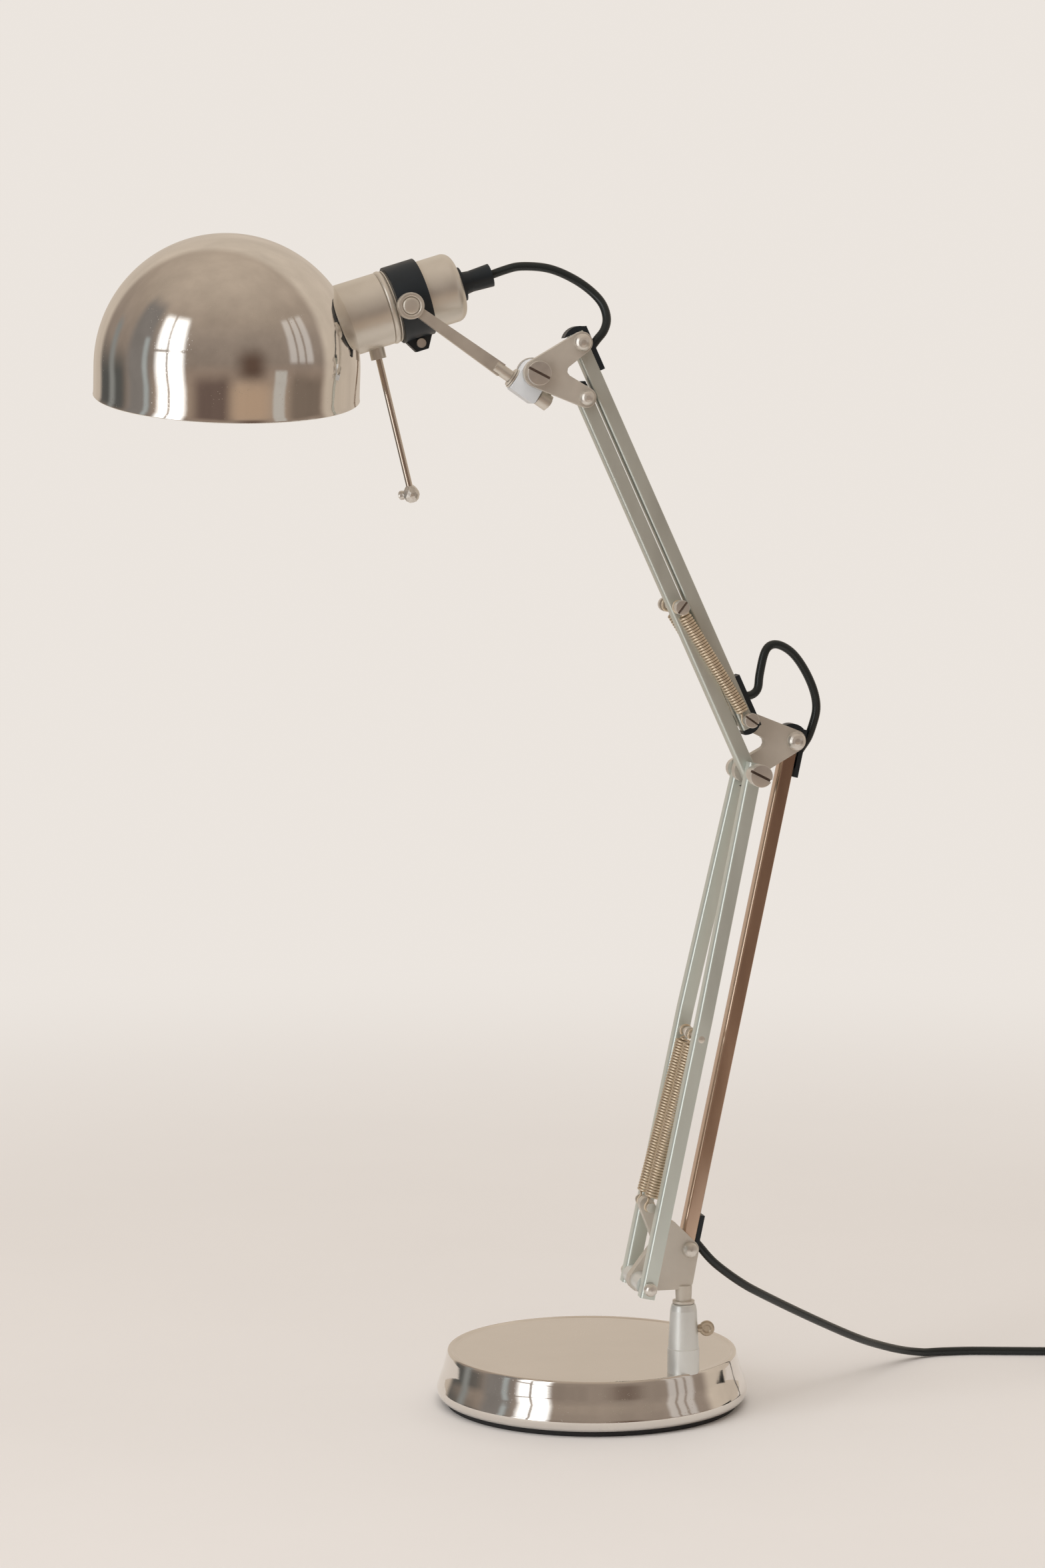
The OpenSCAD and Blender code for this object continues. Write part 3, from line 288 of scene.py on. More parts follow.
def eased(points, passes):
    """Rounds the small corners of an evenly spaced line; the ends stay."""
    p = np.array(points, float)
    for _ in range(passes):
        p[1:-1] = 0.25 * p[:-2] + 0.5 * p[1:-1] + 0.25 * p[2:]
    return p


# The lead, from the lampholder to its plug, as one line in metres
def on_bar(p, q, lean, across, up):
    """A point from pivot p in the frame of a bar that leans, at depth q."""
    s = p[0] + across * math.cos(lean) + up * math.sin(lean)
    z = p[1] - across * math.sin(lean) + up * math.cos(lean)
    return world(s, q, z)


def bar_run(p, q, lean, steps):
    """Points along such a bar, each given across and up."""
    return [on_bar(p, q, lean, *step) for step in steps]


def gate(p, q, lean, middle, way):
    """The lead's way through a bar's moulded end, by the millimetres past its middle."""
    return lambda k: on_bar(p, q, lean, middle[0] + k * way[0], middle[1] + k * way[1])


def near(p, v, q):
    """A point at v from pivot p, at depth q."""
    return world(p[0] + v[0], q, p[1] + v[1])


def mm(*v):
    """A point of the row frame given in millimetres."""
    return Vector(v) * MM


top_gate = gate(T2, Q_UP, UPPER_LEAN, (5.8, -3.7), (0.88, 0.47))
knee_gate = gate(SP, Q_UP, UPPER_LEAN, (5.8, 8.8), (0.88, -0.47))
rear_gate = gate(RP, Q_BACK, LOWER_LEAN, (6.4, -2.5), (0.4, 0.917))
low_gate = gate(P2, Q_BACK, LOWER_LEAN, (5.8, 2.0), (0.78, -0.62))
HOLDER_END = polar(HP, RELIEF_END, HEAD_RISE)
IN_HOLDER = 20  # how far the lead goes on inside the lampholder
FLOOR_WAY = np.array([15.2, 5.6, -0.3]) / np.linalg.norm([15.2, 5.6, -0.3])
DROP_END = np.array([174.0, 91.0, 2.3])

# The coil: COIL_LAYERS flat layers of LOOPS turns, one on the other, by turns inwards and outwards
COIL_X, LEAD_Y, COIL_Z, COIL_PITCH, COIL_IN, COIL_OUT = 276.0, 94.0, 3.4, 4.8, 18.2, 28.1
COIL_LAYERS, LOOPS, RISE = 4, 2.0625, 0.25  # RISE is the share of a turn that climbs to the next layer
COIL_Y = LEAD_Y - COIL_OUT
COIL_ALL = COIL_LAYERS * LOOPS + (COIL_LAYERS - 1) * RISE
COIL_STEPS = 432


def coil_at(t):
    """The coil's line after t turns."""
    span = LOOPS + RISE
    k = min(math.floor(t / span + 0.0001), COIL_LAYERS - 1)
    u = t - k * span
    w = min(u, LOOPS) * COIL_PITCH
    r = COIL_OUT - w if k % 2 == 0 else COIL_IN + w
    a = math.radians(90 - 360 * t)
    up = max(0.0, u - LOOPS) / RISE
    return mm(COIL_X + r * math.cos(a), COIL_Y + r * math.sin(a), COIL_Z + (k + up) * COIL_PITCH)


ROUTE_STEPS, LEAD_STEP, COIL_STEP = 8, 0.0011, 0.0022
inner_end = polar(HOLDER_END, -IN_HOLDER, HEAD_RISE)
head_part = [world(inner_end[0], Q_HEAD, inner_end[1])] + route([
    world(HOLDER_END[0], Q_HEAD, HOLDER_END[1]),
    near(HOLDER_END, (6.5, 2.4), 12.8), near(HOLDER_END, (13.5, 4), 10.6), near(HOLDER_END, (26.4, 2.8), 7),
    near(HOLDER_END, (39.2, -3.2), 3.8), near(T2, (11.7, 19.6), 0.4), near(T2, (14.1, 11.6), -3.4),
    near(T2, (12.2, 5.5), -5.9), top_gate(4),
], ROUTE_STEPS)
upper_part = (
    [top_gate(-4.5), top_gate(-5)]
    + bar_run(T2, Q_UP, UPPER_LEAN, [(0.8, -7.3), (0.2, -9.6), (0, -13), (0, -65), (0, -120)])
    + bar_run(SP, Q_UP, UPPER_LEAN, [(0, 18), (0.2, 14.6), (0.8, 12.3)])
    + [knee_gate(-5), knee_gate(-4.5)]
)
elbow_part = route([
    knee_gate(1.6), near(SP, (6.9, 13.2), -6.2), near(SP, (8.2, 20), -4.6), near(SP, (11.7, 31.3), -2.3),
    near(SP, (16.9, 34), -1.2), near(SP, (24.5, 30.4), 0), near(SP, (31, 22.7), 1.2),
    near(SP, (36.3, 12.5), 2.6), near(SP, (38.5, 3.3), 4.4), near(SP, (37, -5.2), 6), rear_gate(5),
], ROUTE_STEPS)
lower_part = (
    [rear_gate(-7), rear_gate(-7.6)]
    + bar_run(RP, Q_BACK, LOWER_LEAN, [(1.6, -13.8), (0.5, -18.4), (0, -24), (0, -85), (0, -150)])
    + bar_run(P2, Q_BACK, LOWER_LEAN, [(0, 15), (0.3, 10.6), (1, 7.4)])
    + [low_gate(-5), low_gate(-4.5)]
)
drop_part = route([
    low_gate(2), mm(57.5, -35, 75), mm(70, -26, 64), mm(82, -14, 55), mm(107, 16, 37), mm(131, 46, 20.5),
    mm(146, 66, 11.5), mm(159, 81, 5.4), mm(*(DROP_END - 4 * FLOOR_WAY)),
], ROUTE_STEPS) + [mm(*DROP_END)]
floor_part = route([
    mm(*(DROP_END + 4 * FLOOR_WAY)), mm(193, 95, 2), mm(212, LEAD_Y + 0.6, 2), mm(240, LEAD_Y, 2),
    mm(258, LEAD_Y, 2.5), mm(COIL_X - 7, LEAD_Y, COIL_Z), mm(COIL_X - 3, LEAD_Y, COIL_Z),
], ROUTE_STEPS) + [mm(COIL_X - 1, LEAD_Y, COIL_Z)]
coil_part = [mm(COIL_X, LEAD_Y, COIL_Z)]
coil_part += [coil_at(COIL_ALL * i / COIL_STEPS) for i in range(1, COIL_STEPS + 1)]
coil_end = coil_at(COIL_ALL) + mm(CORD_D, 0, 0)

held = eased(even(head_part + upper_part + elbow_part + lower_part + drop_part + floor_part, LEAD_STEP), 3)
wound = even([held[-1]] + coil_part + [coil_end], COIL_STEP)
line, way_on, side_on = frames(np.vstack([held, wound[1:]]))
line_at = np.r_[0, np.cumsum(np.linalg.norm(np.diff(line, axis=0), axis=1))]  # metres along the lead


def place(point):
    """The line's nearest ring to a point."""
    return int(np.linalg.norm(line[: len(held) + 1] - np.array(point), axis=1).argmin())


def ring_after(i, metres):
    """The ring that lies so far after ring i."""
    return int(np.searchsorted(line_at, line_at[i] + metres))


def lead_piece(name, a, b):
    """The lead from ring a to ring b."""
    v, f = tube_data(line[a:b + 1], way_on[a:b + 1], side_on[a:b + 1], CORD_D / 2 * MM, 16)
    obj = piece(name, v, f, sharp=60)
    return obj


def bend_over(obj):
    """Bakes a piece of the lead's placement into its mesh."""
    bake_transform(obj)


# Head loop: from the lampholder over the yoke, the clamp block and the head bracket to the upper bar
i_out = place(world(HOLDER_END[0], Q_HEAD, HOLDER_END[1]))
i_in = place(top_gate(2.5))
loop = line_at[i_in] - line_at[i_out]
h1 = ring_after(i_out, -0.006)
h2 = ring_after(i_out, loop * 0.36)
h3 = ring_after(i_out, loop * 0.56)
h4 = ring_after(i_out, loop * 0.78)
h5 = ring_after(i_in, 0.016)
stub = lead_piece("lead_in_holder", 0, h1)
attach(stub, "lampholder")
head_1, head_2 = lead_piece("lead_head_1", h1, h2), lead_piece("lead_head_2", h2, h3)
head_3, head_4 = lead_piece("lead_head_3", h3, h4), lead_piece("lead_head_4", h4, h5)
bend_over(head_1)
bend_over(head_2)
bend_over(head_3)
bend_over(head_4)
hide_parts("cord_head_loop")

# Upper bar, and the loop over the elbow
k_out = place(knee_gate(0))
k1 = ring_after(k_out, -0.008)
k_in = place(rear_gate(0))
k3 = ring_after(k_in, 0.008)
k2 = ring_after(k_out, 0.52 * (line_at[k_in] - line_at[k_out]))
upper_run = lead_piece("lead_upper_run", h5, k1)
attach(upper_run, "upper_lead_bar")
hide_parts("cord_upper_run")
elbow_1, elbow_2 = lead_piece("lead_elbow_1", k1, k2), lead_piece("lead_elbow_2", k2, k3)
bend_over(elbow_1)
bend_over(elbow_2)
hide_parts("cord_elbow_loop")

# Lower bar, and the drop: its last piece goes on along the floor
d_out = place(low_gate(0))
d1 = ring_after(d_out, -0.007)
lower_run = lead_piece("lead_lower_run", k3, d1)
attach(lower_run, "lower_lead_bar")
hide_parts("cord_lower_run")
d3 = ring_after(place(mm(*DROP_END)), 0.052)
d2 = ring_after(d_out, 0.055)
drop_1, drop_2 = lead_piece("lead_drop_1", d1, d2), lead_piece("lead_drop_2", d2, d3)
bend_over(drop_1)
bend_over(drop_2)
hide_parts("cord_drop")

# On the floor, and in its coil
f_end = len(held) - 1
floor_lead = lead_piece("lead_floor", d3, f_end)
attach(floor_lead, "foot")
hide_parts("cord_lead")
coil = lead_piece("lead_coil", f_end, len(line) - 1)
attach(coil, "foot")
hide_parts("cord_coil")


# Springs: close turns between two eyes
SPRING_REACH = 3.4  # from a pin to the first turn
EYE_SLACK, EYE_TURN = 0.15, 300  # an eye's air round its pin, and how many degrees it goes round
NARROW = 0.45  # the last turn's share of the full radius
EYE_STEPS, TURN_STEPS, TAPER = 16, 18, 12  # steps of an eye, of a turn, and of the narrowing next to an eye


def spring(name, node, a, b, q, diameter, wire, turns, pins, bodies, bend):
    """From pin a to pin b at depth q; bodies and bend are not used."""
    a3, b3 = np.array(world(a[0], q, a[1])) / MM, np.array(world(b[0], q, b[1])) / MM
    length = np.linalg.norm(b3 - a3)
    axis = (b3 - a3) / length
    across = np.array(ACROSS)
    third = np.cross(axis, across)
    r = (diameter - wire) / 2

    def eye(centre, sign, pin):
        """The open loop round a pin at one end."""
        e = pin / 2 + wire / 2 + EYE_SLACK
        out = []
        for i in range(EYE_STEPS + 1):
            w = math.radians(EYE_TURN * (i / EYE_STEPS - 0.5))
            out.append(centre + third * e * math.sin(w) * sign - axis * sign * e * math.cos(w))
        return out

    first, last = eye(a3, 1, pins[0]), eye(b3, -1, pins[1])

    coils = []
    low, high = SPRING_REACH + wire / 2, length - SPRING_REACH - wire / 2
    steps = turns * TURN_STEPS
    for i in range(steps + 1):
        w = 2 * math.pi * turns * i / steps
        grow = min(1.0, i / TAPER, (steps - i) / TAPER)
        rr = r * (NARROW + (1 - NARROW) * grow)
        middle = a3 + axis * (low + (high - low) * i / steps)
        coils.append(middle + (third * math.cos(w) + across * math.sin(w)) * rr)
    pts = np.array(first + coils + last[::-1]) * MM
    soft = eased(np.vstack([pts[:1], pts]), 1)[1:]
    to_eye = len(first) + TAPER // 2  # only an eye and what is next to it gets rounded
    pts[:to_eye] = soft[:to_eye]
    pts[-to_eye:] = soft[-to_eye:]
    p, t, n = frames(pts)
    v, f = tube_data(p, t, n, wire / 2 * MM, 10)
    obj = piece(name, v, f, sharp=80)
    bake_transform(obj)
    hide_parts(node)
    return obj


upper_springs = {
    "a": SP, "b": UP_PIN, "diameter": 6.4, "wire": 1.26, "turns": 39, "pins": (4, 4),
    "bodies": ("elbow", "upper_main_bar"), "bend": (-0.06, 0.66),
}
lower_springs = {
    "a": ANCHOR, "b": LOW_PIN, "diameter": 7.4, "wire": 1.2, "turns": 56, "pins": (3, 3.6),
    "bodies": ("swivel_bracket", "lower_main_bars"), "bend": (-0.1, 0.72),
}
springs = [
    spring("spring_upper_near", "upper_spring_near", q=-14.2, **upper_springs),
    spring("spring_upper_far", "upper_spring_far", q=6.2, **upper_springs),
    spring("spring_lower_near", "lower_spring_near", q=-7.2, **lower_springs),
    spring("spring_lower_far", "lower_spring_far", q=7.2, **lower_springs),
]


# Shade: a spun dome with a straight skirt, a rolled rim and the hole for its holder
def shade_piece():
    """The shade's two skins as one turned piece, with the hole cut afterwards."""
    outer = arc(0, 0, SHADE_R, 90, 0, 46)[:-1] + [(SHADE_R, -i * SKIRT / 6) for i in range(7)]
    rim_height = 1.1
    inner_r, inner_low = SHADE_R - SHADE_T, rim_height - SKIRT
    rim = [(SHADE_R + 0.1, 0.5 - SKIRT), (SHADE_R + 0.2, 0.1 - SKIRT), (SHADE_R - 0.1, -SKIRT - 0.2),
           (SHADE_R - 0.7, -SKIRT - 0.25), (inner_r - 0.6, -SKIRT), (inner_r - 0.8, 0.5 - SKIRT),
           (inner_r - 0.5, 0.9 - SKIRT), (inner_r, inner_low)]
    inner = [(inner_r, inner_low + i * (SKIRT - rim_height) / 5) for i in range(1, 6)]
    inner += arc(0, 0, inner_r, 0, 90, 44)[1:]
    profile = [(r if r > 1e-4 else 0.0, z) for r, z in outer[:-1] + rim + inner]
    verts, faces = lathe_data(profile, 128, IN_SHADE, closed=False)
    obj = piece("shade_dome", verts, faces)
    mesh = obj.data
    bm = bmesh.new()
    bm.from_mesh(mesh)
    bmesh.ops.remove_doubles(bm, verts=bm.verts, dist=1e-6)

    # The hole, cut round the holder's axis, with its border drawn onto a true circle
    hole = (CUP_D - 3) / 2 * MM
    back = HOLDER.inverted()

    def in_hole(face):
        """Whether a face lies within the hole, on the holder's side of the shade."""
        q = back @ face.calc_center_median()
        return math.hypot(q.x, q.y) < hole and q.z < 0.05

    bmesh.ops.delete(bm, geom=[f for f in bm.faces if in_hole(f)], context="FACES")
    bmesh.ops.delete(bm, geom=[v for v in bm.verts if not v.link_faces], context="VERTS")
    edges = [e for e in bm.edges if e.is_boundary]
    centre = IN_SHADE @ Vector((0, 0, 0))
    for v in {v for e in edges for v in e.verts}:
        q = back @ v.co
        k = hole / math.hypot(q.x, q.y)
        ray = HOLDER @ Vector((q.x * k, q.y * k, q.z)) - centre
        v.co = centre + ray * ((v.co - centre).length / ray.length)
    bmesh.ops.bridge_loops(bm, edges=edges)
    bm.to_mesh(mesh)
    bm.free()
    outward(obj, 50)
    return obj


shade = shade_piece()
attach(shade, "lampholder")
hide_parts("shade")

# Foot: a pressed cover with a soft lip
(top_r, top_z), (low_r, low_z) = (70.0, BASE_H - 1.3), (71.9, BASE_H * 0.63)
wall = [(top_r + (low_r - top_r) * k, top_z + (low_z - top_z) * k) for k in (0, 0.2, 0.4, 0.6, 0.8, 1)]
cover_profile = (
    [(0, BASE_H - 0.9)] + [(LIP_D / 2 * k, BASE_H - 0.9) for k in (0.2, 0.4, 0.6, 0.8, 0.93)]
    + [(66.6, BASE_H - 0.95), (67.3, BASE_H - 0.75), (67.9, BASE_H - 0.3), (68.6, BASE_H - 0.06),
       (69.2, BASE_H - 0.12), (69.7, BASE_H - 0.5)]
    + wall + [(72.7, 14.3), (73.5, 12.3), (74.2, 10.3)] + arc(70, 7, 5, 22, -60, 12)
    + [(71.0, 2.5), (71, 4), (72.4, 7), (72.2, 11.4), (70.0, 15.8), (68.2, BASE_H - 2.1), (0, BASE_H - 2.1)]
)
cover = lathe("foot_cover", cover_profile, 192, sharp=35)
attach(cover, "foot")
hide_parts("base_cover")

# Lampholder: the rear cup and the ring at its seam
REAR_R, SEAM = (CUP_D - 1.4) / 2, 5.4
REAR_END, REAR_CORNER, CUP_WALL = 27.8, 4.6, 0.8
IN_R = REAR_R - CUP_WALL
rear_profile = (
    [(0, -REAR_END), (3.9, -REAR_END)]
    + arc(REAR_R - REAR_CORNER, REAR_CORNER - REAR_END, REAR_CORNER, -90, 0, 10)[1:]
    + [(REAR_R, -12), (REAR_R, 4.4), (REAR_R + 0.25, 4.75), (CUP_D / 2, 4.95), (CUP_D / 2, SEAM),
       (IN_R, SEAM), (IN_R, REAR_CORNER - REAR_END), (REAR_R - REAR_CORNER, CUP_WALL - REAR_END),
       (0, CUP_WALL - REAR_END)]
)
rear = lathe("rear_cup_shell", rear_profile, 72, HOLDER)
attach(rear, "lampholder")
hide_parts("rear_cup")
bead = [math.radians(a) for a in range(-60, 61, 12)]
ring_profile = (
    [(IN_R, SEAM), (CUP_D / 2 - 0.8, SEAM)]
    + [(CUP_D / 2 - 1 + 1.4 * math.cos(a), 7.1 + 1.6 * math.sin(a)) for a in bead]
    + [(CUP_D / 2 - 0.8, 8.8), (IN_R, 8.8)]
)
ring = lathe("cup_seam_ring", ring_profile, 72, HOLDER, sharp=30)
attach(ring, "lampholder")
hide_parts("cup_ring")

# Bulb: a threaded cap and an opal ball
THREADS, THREAD_PITCH = 6, 3.4
cap_profile = [(0, -3.4), (5.6, -3.4), (6.3, -2.6)]
for turn in range(THREADS):
    z = -1.6 + turn * THREAD_PITCH
    cap_profile += [(6.3, z), (6.75, z + 0.9), (6.8, z + 1.6), (6.3, z + 2.6)]
cap_profile += [(6.8, 19.6), (6.8, 22), (0, 22)]
screw_cap = lathe("bulb_cap", cap_profile, 40, HOLDER, sharp=70)
neck = [(0, 20), (6.4, 20), (6.6, 22.5), (7.2, 26), (8.6, 30), (10.8, 34.4)]
ball = arc(0, 54, BULB_D / 2, -56, 90, 30)[1:]
glass = lathe("bulb_glass", neck + ball, 64, HOLDER, closed=False, sharp=70)
for obj, slot_name in ((screw_cap, "brass"), (glass, "glass")):
    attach(obj, "lampholder")
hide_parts("bulb")


# Bars: channels bent from sheet, their web towards the head, open behind
BAR_W, BAR_DEP, BAR_T = 6.8, 7.6, 0.9
BAR_OVER = 4.8  # what a bar has beyond its pivots
BEND_AT, BEND_HALF = 128, 3  # where the lower main bars turn towards each other; half the bend's length


def channel(name, body, p, lean, length, q, rise=0.0):
    """A bar with rounded bends in place of the model's own; rise is how far it moves across on its way up."""
    w, d, big, small = BAR_W / 2, BAR_DEP / 2, 1.5, 0.6
    web = small + BAR_T - w
    section = (
        [(w - 0.2, -d)] + arc(big - w, big - d, big, -90, -180, 7) + arc(big - w, d - big, big, 180, 90, 7)
        + [(w - 0.2, d), (w, d - 0.2), (w, d - BAR_T)] + arc(web, d - BAR_T - small, small, 90, 180, 4)
        + arc(web, BAR_T + small - d, small, 180, 270, 4) + [(w, BAR_T - d), (w, 0.2 - d)]
    )
    slope = rise / (length - BEND_AT)
    levels = [(-BAR_OVER, 0.0)]
    if rise:
        for z in (-BEND_HALF, -BEND_HALF / 2, 0, BEND_HALF / 2, BEND_HALF):
            levels.append((BEND_AT + z, slope * (z + BEND_HALF) ** 2 / (4 * BEND_HALF)))
    levels.append((length + BAR_OVER, slope * (length + BAR_OVER - BEND_AT)))
    stand = ARMS @ Matrix.Translation(Vector((p[0], q, p[1])) * MM) @ Matrix.Rotation(lean, 4, "Y")
    n = len(section)
    verts = [stand @ (Vector((x, y + off, z)) * MM) for z, off in levels for x, y in section]
    faces = [(k * n + i, k * n + (i + 1) % n, (k + 1) * n + (i + 1) % n, (k + 1) * n + i)
             for k in range(len(levels) - 1) for i in range(n)]
    faces += [tuple(range(n)), tuple(range((len(levels) - 1) * n, len(levels) * n))]
    obj = piece(name + "_sheet", verts, faces, sharp=35)
    outward(obj, 35)
    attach(obj, body)
    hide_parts(name)
    return obj


bars = [
    channel("lower_front_bar", "lower_main_bars", P1, LOWER_LEAN, LOWER_LEN, FRONT_BAR_Q, 3.5),
    channel("lower_back_bar", "lower_main_bars", P1, LOWER_LEAN, LOWER_LEN, BACK_BAR_Q, -9.5),
    channel("upper_plain_bar", "upper_main_bar", EL, UPPER_LEAN, UPPER_LEN, Q_UP),
    channel("upper_cord_bar", "upper_lead_bar", SP, UPPER_LEAN, UPPER_LEN, Q_UP),
]
lead_bar = channel("lower_cord_bar", "lower_lead_bar", P2, LOWER_LEAN, LOWER_LEN, Q_BACK)


def facing(p, q):
    """A frame on the arms' plane at depth q: X along, Y up, Z towards the viewer."""
    there = Matrix.Translation(Vector((p[0], q, p[1])) * MM)
    return ARMS @ there @ Matrix.Rotation(math.radians(90), 4, "X")


HEAD_SKIN, HEAD_EDGE = 0.06, 0.32  # how far a cut head stands out from the model's own; its rounded edge
HEAD_STEPS = 36


def slotted(name, body, p, q, d, h, lean, width, over=0.12, depth=0.35):
    """A slotted head at p, over the model's own of diameter d and height h.

    The slot falls by lean degrees from left to right; over is how far the head stands in front of
    the model's, and depth the share of h that the slot goes down.
    """
    top, r, out = h + over, d / 2 + HEAD_SKIN, HEAD_EDGE
    half = width / 2 - HEAD_SKIN
    stand = facing(p, q + h) @ Matrix.Rotation(math.radians(-lean), 4, "Z")
    levels = ((0, r, half), (top - out, r, half), (top - out * 0.3, r - out * 0.12, half),
              (top - out * 0.08, r - out * 0.45, half + 0.04), (top, r - out, half + 0.14))
    verts, faces = [], []
    for side in (0, math.pi):
        rings = []
        for z, rr, edge in levels:
            a0 = math.asin(edge / rr)
            ring = []
            for i in range(HEAD_STEPS + 1):
                a = a0 + (math.pi - 2 * a0) * i / HEAD_STEPS + side
                ring.append(len(verts))
                verts.append(Vector((rr * math.cos(a), rr * math.sin(a), z)) * MM)
            rings.append(ring)
        for a, b in zip(rings, rings[1:]):
            n = len(a)
            faces += [(a[i], a[(i + 1) % n], b[(i + 1) % n], b[i]) for i in range(n)]
        faces += [tuple(reversed(rings[0])), tuple(rings[-1])]
    lobes = piece(name, [stand @ v for v in verts], faces, sharp=42)
    outward(lobes, 42)
    floor_z = (1 - depth) * h + 0.08
    # The core is the slot's floor; its dark finish is painted shade in the slot, with some dirt
    core = lathe(name + "_slot", [(0, 0.1), (r - 0.08, 0.1), (r - 0.08, floor_z), (0, floor_z)], 72, stand)
    for obj in (lobes, core):
        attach(obj, body)
    return lobes, core


heads = [
    slotted("tilt_screw_head", "head_bracket", KP, Q_PLATE - 3.8, 10.9, 3.8, 27, 1.3),
    slotted("elbow_screw_head", "elbow", EL, -31.3, 10.4, 6.1, 27, 1.3),
    slotted("spring_stud_head", "elbow", SP, -22.6, 6.8, 4.6, 35, 1.0),
    slotted("upper_pin_head", "upper_main_bar", UP_PIN, -21.2, 6.6, 3.6, -52, 1.1, over=0.75, depth=0),
]

# The lower springs' pin, flush with the near bar, with its sleeve between the springs
NEAR_END, FAR_END = BAR_DEP / 2 - FRONT_BAR_Q, -BACK_BAR_Q - BAR_DEP / 2
pin_profile = [
    (0, FAR_END - 1.2), (1.4, FAR_END - 1.1), (2.5, FAR_END - 0.6), (2.9, FAR_END), (1.78, FAR_END),
    (1.78, -1.6), (2.5, -1.6), (2.72, -1.4), (2.72, 1.4), (2.5, 1.6),
    (1.78, 1.6), (1.78, NEAR_END - 0.1), (1.6, NEAR_END + 0.05), (0, NEAR_END + 0.05),
]
low_pin = lathe("lower_pin_turned", pin_profile, 40, facing(LOW_PIN, 0))
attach(low_pin, "lower_main_bars")
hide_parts("lower_spring_pin")

# The tilting pivot: the yoke's ring and the button that turns in it
ring_section = [(4.03, -3.75), (6.06, -3.75), (6.06, 0.1), (5.9, 0.38), (5.62, 0.5), (4.75, 0.5), (4.5, 0.42),
                (4.2, 0.16), (4.03, -0.2)]
yoke_ring = lathe("yoke_ring", ring_section, 72, facing(VP, Q_STEM - 2.3), sharp=30)
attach(yoke_ring, "yoke")
BUTTON_Q = Q_STEM - 2.6
Q_STRAP = Q_HEAD - math.sqrt((CUP_D / 2 + 1.2) ** 2 - HOLD_UP**2)
BACK = BUTTON_Q - Q_STRAP  # the strap's face, from the button's
button_profile = [
    (0, BACK - 0.6), (3.995, BACK - 0.6), (3.995, BACK - 0.5), (5, BACK - 0.5), (5, -5.0), (3.995, -5.0),
    (3.995, -0.5), (3.75, -0.12), (3.62, -0.06), (3.5, 0.1), (3.2, 0.24), (2.2, 0.34), (1.1, 0.39), (0, 0.4),
]
button = lathe("pivot_button_turned", button_profile, 72, facing(VP, BUTTON_Q), sharp=50)
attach(button, "lampholder")
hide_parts("pivot_button")


def cut_knob():
    """The handle's knob: a small ball cut with flat facets, and a barrel across it."""
    sides = 11
    rows = ((0, -1.3), (1.9, -1.25), (3, 0.2), (3.75, 2), (3.75, 3.5), (2.9, 5.4), (1.5, 6.4), (0, 6.6))
    verts, faces, rings = [], [], []
    for k, (r, z) in enumerate(rows):
        corners = [2 * math.pi * (i + 0.5 * (k % 2)) / sides for i in range(sides if r else 1)]
        rings.append(range(len(verts), len(verts) + len(corners)))
        verts += [Vector((r * math.cos(a), r * math.sin(a), z)) * MM for a in corners]
    for k, (a, b) in enumerate(zip(rings, rings[1:])):
        for i in range(sides):
            m = (i + 1) % sides
            if len(a) == 1:
                faces.append((a[0], b[m], b[i]))
            elif len(b) == 1:
                faces.append((a[i], a[m], b[0]))
            elif k % 2 == 0:
                faces += [(a[i], a[m], b[i]), (a[m], b[m], b[i])]
            else:
                faces += [(a[i], a[m], b[m]), (a[i], b[m], b[i])]
    up = ON_HANDLE @ Matrix.Translation(Vector((0, 0, CUP_D / 2 + HANDLE_LEN + KNOB_OVER)) * MM)
    ball = piece("knob_ball", [up @ v for v in verts], faces, sharp=4)
    outward(ball, 4)
    lying = (
        up
        @ Matrix.Translation(Vector((0, 0, 2.3)) * MM)
        @ Matrix.Rotation(math.radians(40), 4, "Z")
        @ Matrix.Rotation(math.radians(90), 4, "Y")
    )
    profile = [(0, 0.5), (1.9, 0.5), (1.9, 4.3), (2.15, 4.6), (2.15, 5.6), (1.8, 5.95), (0, 6.0)]
    barrel = lathe("knob_barrel", profile, 28, lying)
    for part in (ball, barrel):
        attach(part, "lampholder")
    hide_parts("handle_knob")
    return [ball, barrel]


knob = cut_knob()


# Shader nodes
def add(tree, kind, **values):
    """A new node; a value sets the node's property of that name, or else its input."""
    node = tree.nodes.new(kind)
    for key, value in values.items():
        if hasattr(node, key):
            setattr(node, key, value)
        else:
            node.inputs[key.replace("_", " ")].default_value = value
    return node


def calc(tree, operation, *values):
    """The result of a math node on sockets and numbers."""
    node = add(tree, "ShaderNodeMath", operation=operation)
    for k, value in enumerate(values):
        if isinstance(value, (int, float)):
            node.inputs[k].default_value = value
        else:
            tree.links.new(value, node.inputs[k])
    return node.outputs["Value"]


def map_range(tree, value, from_range, to_range=(0, 1), interpolation="LINEAR"):
    """A socket's value, taken from one range to another and kept inside it."""
    node = add(tree, "ShaderNodeMapRange", interpolation_type=interpolation)
    for key, ends in (("From", from_range), ("To", to_range)):
        node.inputs[key + " Min"].default_value, node.inputs[key + " Max"].default_value = ends
    tree.links.new(value, node.inputs["Value"])
    return node.outputs["Result"]


# Finishes
ALONG = (1, 1, 0.12)  # marks drawn out along a bar
DUST_SCALE, DUST_PATCHES = 700.0, 55.0


